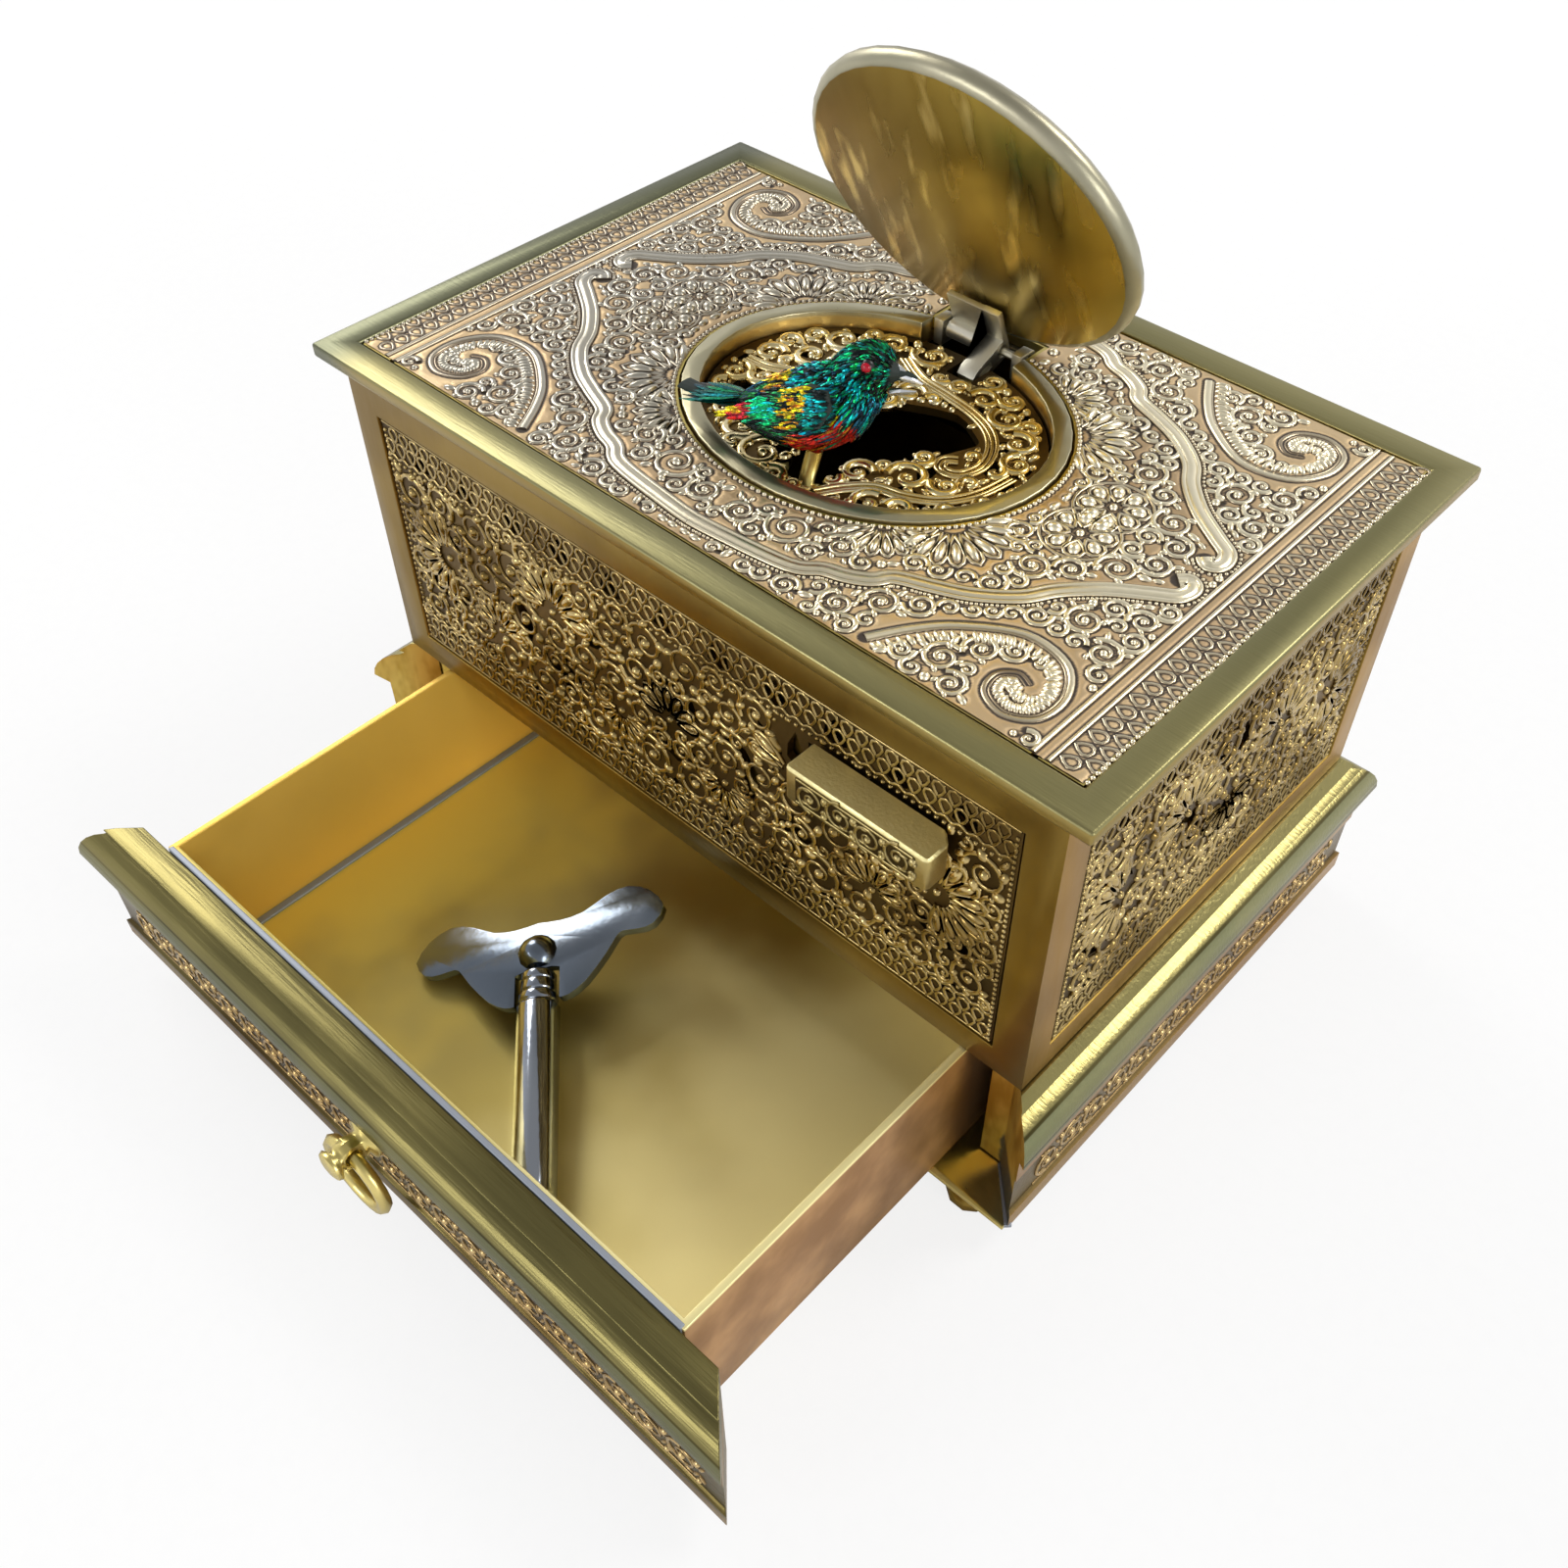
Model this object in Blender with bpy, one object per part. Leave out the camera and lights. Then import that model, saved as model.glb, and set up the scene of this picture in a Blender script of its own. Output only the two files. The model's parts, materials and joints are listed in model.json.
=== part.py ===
# Singing bird automaton: a gilt casket with an oval lid, a folding bird, its movement and a key drawer.
# Sizes are in millimetres; every finished mesh is written in metres, +Z up.
# The case stands on z = 0, and "case coordinates" have x = y = 0 in the middle of the case.

import math

import bmesh
import bpy
from mathutils import Matrix, Vector

metre = 0.001
fit = 0.3                      # gap between pieces that touch

# Case
case_length = 103.6
case_depth = 66.7
wall = 2.0
panel_thickness = 0.9
panel_recess = 1.5
corner_post = 4.4
rail_top = 5.5
rail_bottom = 3.8
leaf_margin = 0.6
shelf_width = 3.0
shelf_thickness = 2.0
foot_height = 3.4
base_height = 21.5
body_height = 43.26

# Cap
rim_overhang_x = 3.2
rim_overhang_y = 1.85
rim_thickness = 1.74
rim_border_x = 3.8
rim_border_y = 4.0
top_panel_thickness = 1.4
top_panel_sink = 0.35
cartouche_width = 1.8
cartouche_height = 0.5

# Oval opening
oval_a = 21.1
oval_b = 17.2
bezel_width = 2.1
bezel_flange = 1.6
bezel_ledge = 1.6
grille_drop = 2.1
grille_thickness = 1.0
hinge_gap = 13.4
bird_clearance = 0.9

# Lid
lid_a = 21.9
lid_b = 18.6
lid_shift = 0.7
lid_thickness = 3.0
lid_open = 68.0
hinge_y = 19.6
hinge_drop = 1.2
hinge_clear = 2.8
pin_radius = 0.5
knuckle_radius = 1.2
lid_arm_length = 5.5
lid_arm_width = 2.4
lid_arm_left = 0.5
knuckle_left = -4.7

# Base and drawer
base_wall = 2.05
base_plate_thickness = 0.6
base_plate_lip = 3.95
jamb_width = 5.2
jamb_thickness = 1.6
foot_radius = 3.0
foot_inset_x = 3.4
foot_inset_y = -1.25
drawer_travel = 44.6
tray_side_gap = 2.4
tray_back_gap = 7.7
tray_wall = 0.9
tray_floor = 0.8
pull_length = 5.6
pull_rise = 11.6
pull_flange = 2.5
ring_radius = 4.7
ring_wire = 0.85

# Key
key_x = -7.9
key_forward = 17.5
key_heading = -42.5
key_roll = 17.0
key_length = 31.5
key_radius = 2.65
key_socket = 1.7
key_socket_depth = 9.0
bow_thickness = 1.2
bow_reach = 16.6
key_ball = 2.7

# Start lever
grip_length = 18.3
grip_inset = 29.8
grip_depth = 4.2
grip_height = 4.6
grip_top = 13.1
start_travel = 5.0
slot_height = 2.2
stem_length = 9.5

# Movement
plate_thickness = 1.2
plates_apart = 20.6
pillar_radius = 2.0
pillar_inset_y = 4.0
plate_gap_x = 2.8
plate_gap_y = 4.35
upper_plate_margin = 6.9
barrel_inset = 20.0
barrel_y = -1.0
barrel_radius = 12.6
barrel_height = 11.0
barrel_teeth = 60
barrel_module = 0.6
pinion_teeth = 12
second_teeth = 48
second_module = 0.5
second_heading = 0.0
third_teeth = 36
third_module = 0.45
third_heading = 60.0
fly_heading = -42.0
fly_radius = 4.6
wheel_thickness = 1.2
pinion_height = 3.4
arbor_radius = 0.9
winding_radius = 1.5
cam_radius = 6.6
cam_thickness = 1.4
cam_step = 0.8
lever_thickness = 1.2
lever_length = 9.0
lever_nose = 2.2
stud_radius = 0.8
ratchet_radius = 6.0
ratchet_teeth = 16

# Bellows and whistle
bellows_inset = 2.0
bellows_y = -8.0
bellows_length = 25.0
bellows_width = 20.0
board_thickness = 1.2
leather_height = 3.0
whistle_y = 15.0
whistle_length = 24.0
whistle_radius = 3.0
whistle_bore = 2.0
piston_stroke = 6.0

# Bird, in its own forward / up directions from the belly point
bird_x = 1.5
bird_y = -11.5
bird_rise = -0.5
bird_heading = 18.0
bird_lean = 15.0
folded_heading = 5.0
folded_lean = 90.0
carriage_x = 1.1
carriage_y = -12.7
carriage_drop = 5.0
carriage_hub = 1.5
carriage_half = 3.0
post_radius = 0.9
post_reach = 1.2
bird_width = 3.5
wing_thickness = 0.9
wing_length = 11.5
tail_length = 6.2

# Places that follow from the sizes
base_bottom = foot_height
base_top = base_bottom + base_height
body_top = base_top + body_height
rim_top = body_top + fit + rim_thickness
half_x = case_length / 2
half_y = case_depth / 2
grip_left = half_x - grip_inset
rim_length = case_length + 2 * rim_overhang_x
rim_depth = case_depth + 2 * rim_overhang_y
lower_plate_half = half_x - wall - plate_gap_x
movement_half_depth = half_y - wall - plate_gap_y
train_left = -lower_plate_half
pillar_y = movement_half_depth - pillar_inset_y
barrel_x = -lower_plate_half + barrel_inset
bellows_x = lower_plate_half - bellows_inset - bellows_length
foot_x = half_x - foot_inset_x
foot_y = half_y - foot_inset_y
tray_half_width = half_x - jamb_width - tray_side_gap
tray_length = case_depth - tray_back_gap
key_y = -half_y - key_forward
panel_top_z = rim_top - top_panel_sink
panel_low_z = panel_top_z - top_panel_thickness
grille_top = rim_top - grille_drop
grille_low = grille_top - grille_thickness
hinge_z = rim_top - hinge_drop
plate_low = base_bottom
tray_low = plate_low + base_plate_thickness + fit
drawer_high = base_top - fit
front_back_face = -half_y + base_wall
lower_plate_z = base_top + shelf_thickness + fit
upper_plate_z = lower_plate_z + plate_thickness + plates_apart
movement_floor = lower_plate_z + plate_thickness
front_moulding = 4.4
post_face_y = -half_y - 3.1
pull_front = post_face_y - drawer_travel - pull_length
origin_shift = -((half_y + front_moulding) + pull_front) / 2


def clear_scene():
    for item in list(bpy.data.objects):
        bpy.data.objects.remove(item, do_unlink=True)


def finish(name, colour, roughness, metallic=1.0):
    """A Principled material for one piece."""
    material = bpy.data.materials.new(name)
    material.use_nodes = True
    shader = material.node_tree.nodes["Principled BSDF"]
    shader.inputs["Base Color"].default_value = (*colour, 1.0)
    shader.inputs["Roughness"].default_value = roughness
    shader.inputs["Metallic"].default_value = metallic
    material.diffuse_color = (*colour, 1.0)
    return material


def axis_empty(name, place, parent=None, turn=None):
    """An empty on a joint's axis; place is in millimetres under the parent."""
    empty = bpy.data.objects.new(name, None)
    bpy.context.scene.collection.objects.link(empty)
    empty.parent = parent
    empty.matrix_basis = Matrix.Translation(Vector(place) * metre) @ (turn or Matrix.Identity(4))
    return empty


def add(name, shape, look, parent, guide=False):
    """Turn a bmesh in millimetres into an object in metres under its parent."""
    bmesh.ops.scale(shape, vec=(metre, metre, metre), verts=shape.verts)
    bmesh.ops.recalc_face_normals(shape, faces=shape.faces)
    mesh = bpy.data.meshes.new(name)
    shape.to_mesh(mesh)
    shape.free()
    mesh.shade_smooth()
    mesh.set_sharp_from_angle(angle=math.radians(32))
    piece = bpy.data.objects.new(name, mesh)
    bpy.context.scene.collection.objects.link(piece)
    piece.parent = parent
    if guide:
        piece.hide_render = True
        piece.display_type = "WIRE"
    else:
        mesh.materials.append(finish(name, *look))
    return piece


def boolean(piece, shape, operation):
    """Join a shape to a piece, or cut it away, by a Boolean modifier."""
    label = piece.name + "_" + operation.lower() + str(len(piece.modifiers))
    guide = add(label, shape, None, piece.parent, guide=True)
    guide.matrix_basis = piece.matrix_basis
    modifier = piece.modifiers.new(operation.title(), "BOOLEAN")
    modifier.operation = operation
    modifier.solver = "EXACT"
    modifier.object = guide


def cut(piece, *shapes):
    for shape in shapes:
        boolean(piece, shape, "DIFFERENCE")


def join(piece, *shapes):
    for shape in shapes:
        boolean(piece, shape, "UNION")


def block(x, y, z):
    """A box from (low, high) pairs."""
    shape = bmesh.new()
    bmesh.ops.create_cube(shape, size=1.0)
    size = [high - low for low, high in (x, y, z)]
    centre = [(high + low) / 2 for low, high in (x, y, z)]
    bmesh.ops.scale(shape, vec=size, verts=shape.verts)
    bmesh.ops.translate(shape, vec=centre, verts=shape.verts)
    return shape


def sheet(loops, low, high):
    """A flat piece with holes: the first loop is the outline, the others are openings."""
    curve = bpy.data.curves.new("outline", "CURVE")
    curve.dimensions = "2D"
    curve.fill_mode = "BOTH"
    curve.extrude = (high - low) / 2
    for loop in loops:
        spline = curve.splines.new("POLY")
        spline.points.add(len(loop) - 1)
        for point, (x, y) in zip(spline.points, loop):
            point.co = (x, y, 0.0, 1.0)
        spline.use_cyclic_u = True
    holder = bpy.data.objects.new("outline", curve)
    bpy.context.scene.collection.objects.link(holder)
    seen = holder.evaluated_get(bpy.context.evaluated_depsgraph_get())
    mesh = bpy.data.meshes.new_from_object(seen)
    shape = bmesh.new()
    shape.from_mesh(mesh)
    bpy.data.objects.remove(holder, do_unlink=True)
    bpy.data.curves.remove(curve)
    bpy.data.meshes.remove(mesh)
    bmesh.ops.remove_doubles(shape, verts=shape.verts, dist=0.0005)
    bmesh.ops.translate(shape, vec=(0, 0, (low + high) / 2), verts=shape.verts)
    return shape


def moved(shape, matrix):
    bmesh.ops.transform(shape, matrix=matrix, verts=shape.verts)
    return shape


def upright(shape):
    """Turn a sheet drawn in x and y so that its y runs up, facing -Y."""
    return moved(shape, Matrix.Rotation(math.radians(90), 4, "X"))


def along_x(shape):
    """Turn a sheet drawn as (y, z) so that its thickness runs along X."""
    turn = Matrix(((0, 0, 1, 0), (1, 0, 0, 0), (0, 1, 0, 0), (0, 0, 0, 1)))
    return moved(shape, turn)


def turned(profile, steps, angle=360.0):
    """A lathe form about Z from (radius, z) points that start and end on the axis, or a closed ring."""
    ring = profile[0][0] > 0
    columns = []
    shape = bmesh.new()
    for step in range(steps):
        a = math.radians(angle) * step / steps
        column = []
        for radius, z in profile:
            if radius == 0 and step:
                column.append(columns[0][len(column)])
            else:
                column.append(shape.verts.new((radius * math.cos(a), radius * math.sin(a), z)))
        columns.append(column)
    count = len(profile)
    for step in range(steps):
        here, there = columns[step], columns[(step + 1) % steps]
        for k in range(count if ring else count - 1):
            corners = [here[k], there[k], there[(k + 1) % count], here[(k + 1) % count]]
            unique = list(dict.fromkeys(corners))
            if len(unique) > 2:
                shape.faces.new(unique)
    return shape


def rod(radius, low, high, steps=12):
    return turned([(0, low), (radius, low), (radius, high), (0, high)], steps)


def tube(outer, inner, low, high, steps=24):
    return turned([(outer, low), (outer, high), (inner, high), (inner, low)], steps)


def oval(a, b, steps=44, centre=(0, 0)):
    turn = [2 * math.pi * k / steps for k in range(steps)]
    return [(centre[0] + a * math.cos(t), centre[1] + b * math.sin(t)) for t in turn]


def oval_stack(rings, steps=44, closed=False, centre=(0, 0)):
    """Faces between ovals (a, b, z), capped at both ends or closed on itself."""
    shape = bmesh.new()
    rows = []
    for a, b, z in rings:
        rows.append([shape.verts.new((x, y, z)) for x, y in oval(a, b, steps, centre)])
    pairs = list(zip(rows, rows[1:]))
    if closed:
        pairs.append((rows[-1], rows[0]))
    for lower, upper in pairs:
        for k in range(steps):
            n = (k + 1) % steps
            shape.faces.new((lower[k], lower[n], upper[n], upper[k]))
    if not closed:
        shape.faces.new(rows[0])
        shape.faces.new(rows[-1])
    return shape


def teardrop(x, y, heading, length, width):
    """A pointed leaf with a round foot, pointing along its heading in degrees."""
    a = math.radians(heading)
    points = [(length * 0.62, 0), (length * 0.15, width * 0.42), (-length * 0.22, width * 0.46),
              (-length * 0.38, 0), (-length * 0.22, -width * 0.46), (length * 0.15, -width * 0.42)]
    return [(x + u * math.cos(a) - v * math.sin(a), y + u * math.sin(a) + v * math.cos(a)) for u, v in points]


def crescent(x, y, radius, width, start, end, steps=4):
    """A curved leaf along an arc, pointed at both ends."""
    outer, inner = [], []
    for k in range(steps + 1):
        a = math.radians(start + (end - start) * k / steps)
        swell = width / 2 * math.sin(math.pi * k / steps)
        outer.append((x + (radius + swell) * math.cos(a), y + (radius + swell) * math.sin(a)))
        if 0 < k < steps:
            inner.append((x + (radius - swell) * math.cos(a), y + (radius - swell) * math.sin(a)))
    return outer + inner[::-1]


def star(x, y, reach, waist):
    loop = []
    for k in range(8):
        radius = waist if k % 2 else reach
        loop.append((x + radius * math.cos(math.pi * k / 4), y + radius * math.sin(math.pi * k / 4)))
    return loop


def rectangle(half_width, half_height):
    return [(-half_width, -half_height), (half_width, -half_height), (half_width, half_height), (-half_width, half_height)]


def moulding(profile, stations):
    """Sweep an (outward, z) profile past mitred corners (x, y, out_x, out_y); the ends are capped."""
    shape = bmesh.new()
    rows = []
    for x, y, out_x, out_y in stations:
        rows.append([shape.verts.new((x + w * out_x, y + w * out_y, z)) for w, z in profile])
    count = len(profile)
    for here, there in zip(rows, rows[1:]):
        for k in range(count):
            n = (k + 1) % count
            shape.faces.new((here[k], here[n], there[n], there[k]))
    shape.faces.new(rows[0])
    shape.faces.new(rows[-1])
    return shape


def loft(stations, sides):
    """A body through rings (forward, up, half height, half width), closed to a point at each end."""
    shape = bmesh.new()
    rings = []
    for k, (f, u, high, wide) in enumerate(stations):
        before = stations[max(k - 1, 0)]
        after = stations[min(k + 1, len(stations) - 1)]
        along = Vector((after[0] - before[0], 0, after[1] - before[1])).normalized()
        lift = Vector((-along.z, 0, along.x))
        ring = []
        for s in range(sides):
            t = 2 * math.pi * s / sides
            ring.append(shape.verts.new(Vector((f, 0, u)) + lift * high * math.cos(t) + Vector((0, wide * math.sin(t), 0))))
        rings.append(ring)
    for here, there in zip(rings, rings[1:]):
        for s in range(sides):
            n = (s + 1) % sides
            shape.faces.new((here[s], here[n], there[n], there[s]))
    for ring in (rings[0], rings[-1]):
        middle = sum((v.co for v in ring), Vector()) / sides
        tip = shape.verts.new(middle)
        for s in range(sides):
            shape.faces.new((ring[s], ring[(s + 1) % sides], tip))
    return shape


def gear_outline(teeth, module, addendum=0.75, dedendum=1.15, backlash=0.12):
    """Straight-flanked teeth whose foot and tip lie on involutes."""
    pitch = teeth * module / 2
    base = pitch * math.cos(math.radians(20))
    tip = pitch + addendum * module
    root = pitch - dedendum * module

    def spread(radius):
        def involute(a):
            return math.tan(a) - a
        angle = math.acos(min(1.0, base / radius))
        return math.pi / (2 * teeth) - backlash / pitch + involute(math.radians(20)) - involute(angle)

    foot = max(root, base)
    loop = []
    for k in range(teeth):
        middle = 2 * math.pi * k / teeth
        marks = [(root, -spread(foot)), (tip, -spread(tip)), (tip, spread(tip)), (root, spread(foot))]
        loop += [(r * math.cos(middle + a), r * math.sin(middle + a)) for r, a in marks]
    return loop


def spin_z(loop, degrees):
    c, s = math.cos(math.radians(degrees)), math.sin(math.radians(degrees))
    return [(x * c - y * s, x * s + y * c) for x, y in loop]


def hull(points):
    """The convex outline round a set of points, counter-clockwise."""
    points = sorted(set(points))

    def chain(row):
        line = []
        for p in row:
            while len(line) > 1:
                (ax, ay), (bx, by) = line[-2], line[-1]
                if (bx - ax) * (p[1] - ay) - (by - ay) * (p[0] - ax) > 1e-9:
                    break
                line.pop()
            line.append(p)
        return line[:-1]

    return chain(points) + chain(points[::-1])


def inside(point, loop):
    """Whether a point lies inside a closed loop."""
    x, y = point
    result = False
    for (ax, ay), (bx, by) in zip(loop, loop[1:] + loop[:1]):
        if (ay > y) != (by > y) and x < (bx - ax) * (y - ay) / (by - ay) + ax:
            result = not result
    return result


def distance(point, loop):
    """The distance from a point to a closed loop."""
    best = 1e9
    p = Vector(point)
    for start, end in zip(loop, loop[1:] + loop[:1]):
        a, b = Vector(start), Vector(end)
        t = max(0.0, min(1.0, (p - a).dot(b - a) / (b - a).length_squared))
        best = min(best, (p - a - (b - a) * t).length)
    return best


def bird_turn(heading, lean):
    """The bird's forward, left and up directions as a rotation."""
    a, t = math.radians(heading), math.radians(lean)
    forward = Vector((math.cos(a), math.sin(a), 0))
    side = Vector((-math.sin(a), math.cos(a), 0))
    up = Vector((0, 0, 1)) * math.cos(t) + side * math.sin(t)
    left = up.cross(forward)
    return Matrix((forward, left, up)).transposed()


gilt = (0.72, 0.47, 0.16)
pale_gilt = (0.80, 0.62, 0.34)
brass = (0.78, 0.58, 0.26)
steel = (0.62, 0.63, 0.65)


def build_case(case):
    """The case body with its recessed panel windows, shelves and lever slot."""
    low, high = base_top, body_top
    body = add("case_frame", block((-half_x, half_x), (-half_y, half_y), (low, high)), (gilt, 0.3), case)
    inner_x, inner_y = half_x - wall, half_y - wall
    cut(body, block((-inner_x, inner_x), (-inner_y, inner_y), (low + shelf_thickness, high - shelf_thickness)))
    lip_x, lip_y = inner_x - shelf_width, inner_y - shelf_width
    cut(body, block((-lip_x, lip_x), (-lip_y, lip_y), (low - 1, high + 1)))
    window_low, window_high = low + rail_bottom, high - rail_top + 0.2
    for side in (-1, 1):
        face = side * half_y
        cut(body, block((-half_x + corner_post, half_x - corner_post),
                        sorted((face - side * panel_recess, face + side)), (window_low, window_high)))
        face = side * half_x
        cut(body, block(sorted((face - side * panel_recess, face + side)),
                        (-half_y + corner_post, half_y - corner_post), (window_low, window_high)))
    slot = slot_span()
    cut(body, block(slot[0], (-half_y - 1, -inner_y + 1), slot[1]))
    build_panels(case, window_low, window_high)


def slot_span():
    """The lever slot: where the stem travels, with clearance."""
    middle = rim_top - grip_top - grip_height / 2
    stem_left = grip_left + (grip_length - stem_length) / 2
    across = (stem_left - start_travel - 2 * fit, stem_left + stem_length + 2 * fit)
    return across, (middle - slot_height / 2, middle + slot_height / 2)


def spaced(openings, outline, margin):
    """The openings that keep a margin from the outline and from those kept before them."""
    kept = []
    for loop in openings:
        clear = all(inside(p, outline) and distance(p, outline) > margin for p in loop)
        if clear and all(apart(loop, other, margin) for other in kept):
            kept.append(loop)
    return kept


def apart(loop, other, margin):
    """Whether two loops keep a margin from each other."""
    for a, b in ((loop, other), (other, loop)):
        if any(inside(p, b) or distance(p, b) < margin for p in a):
            return False
    return True


def filigree(half_width, half_height):
    """Openings of a pierced panel: fans, stars and volutes, with leaf rows above and below."""
    openings = []
    fans = (-18.0, 19.0) if half_width > 40 else (0.0,)
    for x in fans:
        for k in range(5):
            a = 90 + 40 * (k - 2)
            u, v = math.cos(math.radians(a)), math.sin(math.radians(a))
            openings.append(teardrop(x + 5.4 * u, 2.6 + 4.6 * v, a, 5.0, 2.6))
        openings.append(star(x, -5.2, 3.6, 1.6))
        for side in (-1, 1):
            openings.append(crescent(x + side * 10.4, -1.5, 4.2, 2.6, 90 - side * 10, 90 + side * 175))
    ends = [0.6, -half_width + 7.5, half_width - 7.5] if half_width > 40 else [-half_width + 6, half_width - 6]
    for x in ends:
        openings.append(crescent(x, 0.0, 4.6, 2.4, 20, 160))
        openings.append(crescent(x, -1.2, 4.6, 2.4, 200, 340))
    count = max(2, int(half_width * 2 / 7.9))
    pitch = 2 * (half_width - 2.4) / count
    for k in range(count):
        x = -half_width + 2.4 + pitch * (k + 0.5)
        openings.append(teardrop(x, half_height - 3.2, 90, 3.6, 3.4))
        openings.append(teardrop(x, -half_height + 4.4, 90, 3.6, 3.4))
    return openings


def build_panels(case, window_low, window_high):
    """Four pierced panels, let into the windows of the case."""
    middle = (window_low + window_high) / 2
    half_height = (window_high - window_low) / 2 - fit
    for name, reach, length, turn in (("front_panel", half_y, half_x, 0), ("back_panel", half_y, half_x, 180),
                                      ("right_panel", half_x, half_y, 90), ("left_panel", half_x, half_y, -90)):
        half_width = length - corner_post - fit
        openings = filigree(half_width, half_height)
        if name == "front_panel":
            (left, right), (low, high) = slot_span()
            low, high = low - middle, high - middle
            openings.insert(0, [(left, low), (right, low), (right, high), (left, high)])
        openings = spaced(openings, rectangle(half_width, half_height), leaf_margin)
        shape = upright(sheet([rectangle(half_width, half_height)] + openings, 0, panel_thickness))
        out = reach - panel_recess + fit
        place = Matrix.Rotation(math.radians(turn), 4, "Z") @ Matrix.Translation((0, -out, middle))
        add(name, moved(shape, place), (gilt, 0.35), case)


def build_cap(case):
    """The rim frame and the embossed top panel."""
    outer_x, outer_y = rim_length / 2, rim_depth / 2
    hole_x, hole_y = outer_x - rim_border_x, outer_y - rim_border_y
    rim = add("rim_frame", sheet([rectangle(outer_x, outer_y), rectangle(hole_x, hole_y)],
                                 rim_top - rim_thickness, rim_top), (brass, 0.3), case)
    edge = rim.modifiers.new("Rounded edge", "BEVEL")
    edge.width = 0.35 * metre
    edge.segments = 2
    edge.limit_method = "ANGLE"
    plate_x, plate_y = hole_x - fit, hole_y - fit
    hole = oval(oval_a + bezel_width + fit, oval_b + bezel_width + fit)
    panel = add("top_panel", sheet([rectangle(plate_x, plate_y), hole], panel_low_z, panel_top_z),
                (pale_gilt, 0.35), case)
    quarter = [(0, 27.7), (11.4, 25.6), (19.3, 22.7), (27.9, 17.7), (32.9, 12.7), (37.1, 9.2), (43.0, 4.6)]
    outline = [(x, y) for x, y in quarter] + [(x, -y) for x, y in quarter[::-1]]
    outline += [(-x, -y) for x, y in quarter[1:]] + [(-x, y) for x, y in quarter[:0:-1]]
    outline = [p for k, p in enumerate(outline) if p != outline[k - 1]]
    inner = [(x * (1 - cartouche_width / 43.0), y * (1 - cartouche_width / 27.7)) for x, y in outline]
    join(panel, sheet([outline, inner], panel_top_z - 0.4, panel_top_z + cartouche_height))
    for side in (-1, 1):
        for end in (-1, 1):
            scroll = crescent(side * 39.5, end * 24.5, 4.2, 2.0, 90 + side * 60, 90 - side * 190, 10)
            join(panel, sheet([scroll], panel_top_z - 0.4, panel_top_z + cartouche_height))
        x = side * 45.6
        cut(panel, block((x - 0.4, x + 0.4), (-plate_y - 1, plate_y + 1), (panel_top_z - 0.4, panel_top_z + 1)))
    gap_x = hinge_gap / 2
    cut(panel, block((-gap_x, gap_x), (10, hinge_y + hinge_clear), (panel_low_z - 1, panel_top_z + 1)))


def folded_matrix():
    """Where the bird's own directions stand once it is folded, about its carriage pin."""
    return bird_turn(folded_heading, folded_lean)


def bird_stations():
    """Rings of the bird from tail root to beak tip: forward, up, half height, half width."""
    return [(-9.2, 3.2, 0.8, 0.9), (-7.6, 3.5, 1.9, 1.9), (-4.6, 4.2, 3.3, 2.9), (-1.2, 5.0, 4.2, bird_width),
            (1.9, 6.6, 4.1, bird_width), (3.7, 8.8, 3.2, 3.0), (4.6, 10.4, 2.9, 2.6), (6.0, 11.2, 2.5, 2.3),
            (7.4, 11.2, 1.4, 1.3), (8.4, 11.2, 0.7, 0.6), (10.2, 11.1, 0.15, 0.15)]


def carriage_point():
    return Vector((carriage_x, carriage_y, rim_top - carriage_drop))


def belly_offset():
    """The belly point from the carriage pin, in the bird's own directions."""
    belly = Vector((bird_x, bird_y, rim_top + bird_rise))
    return bird_turn(bird_heading, bird_lean).transposed() @ (belly - carriage_point())


def bird_aperture():
    """The grille's opening: the folded bird's outline with clearance."""
    turn = folded_matrix()
    points = []
    circles = [(f, u, max(high, wide)) for f, u, high, wide in bird_stations()]
    circles += [(-9.2 - tail_length, 4.4, 1.2), (0.0, -2.0, 2.4), (0.0, -belly_offset().z, carriage_hub)]
    for f, u, radius in circles:
        place = carriage_point() + turn @ (belly_offset() + Vector((f, 0, u)))
        for x, y in oval(radius + bird_clearance, radius + bird_clearance, 12, (place.x, place.y)):
            points.append((round(x, 4), round(y, 4)))
    return hull(points)


def build_bezel(case):
    """The oval ring with its inner wall, under-flange and ledge, open at the hinge."""
    low = grille_low - fit
    rings = [(0, rim_top), (bezel_width, rim_top), (bezel_width, panel_low_z - fit),
             (bezel_width + bezel_flange, panel_low_z - fit), (bezel_width + bezel_flange, low),
             (0.6, low), (0.6, low - 1.2), (-bezel_ledge, low - 1.2), (-bezel_ledge, low), (0, low)]
    shape = oval_stack([(oval_a + w, oval_b + w, z) for w, z in rings], closed=True)
    ring = add("bezel_ring", shape, (brass, 0.25), case)
    gap_x = hinge_gap / 2
    cut(ring, block((-gap_x, gap_x), (10, 30), (low - 3, rim_top + 1)))


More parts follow.
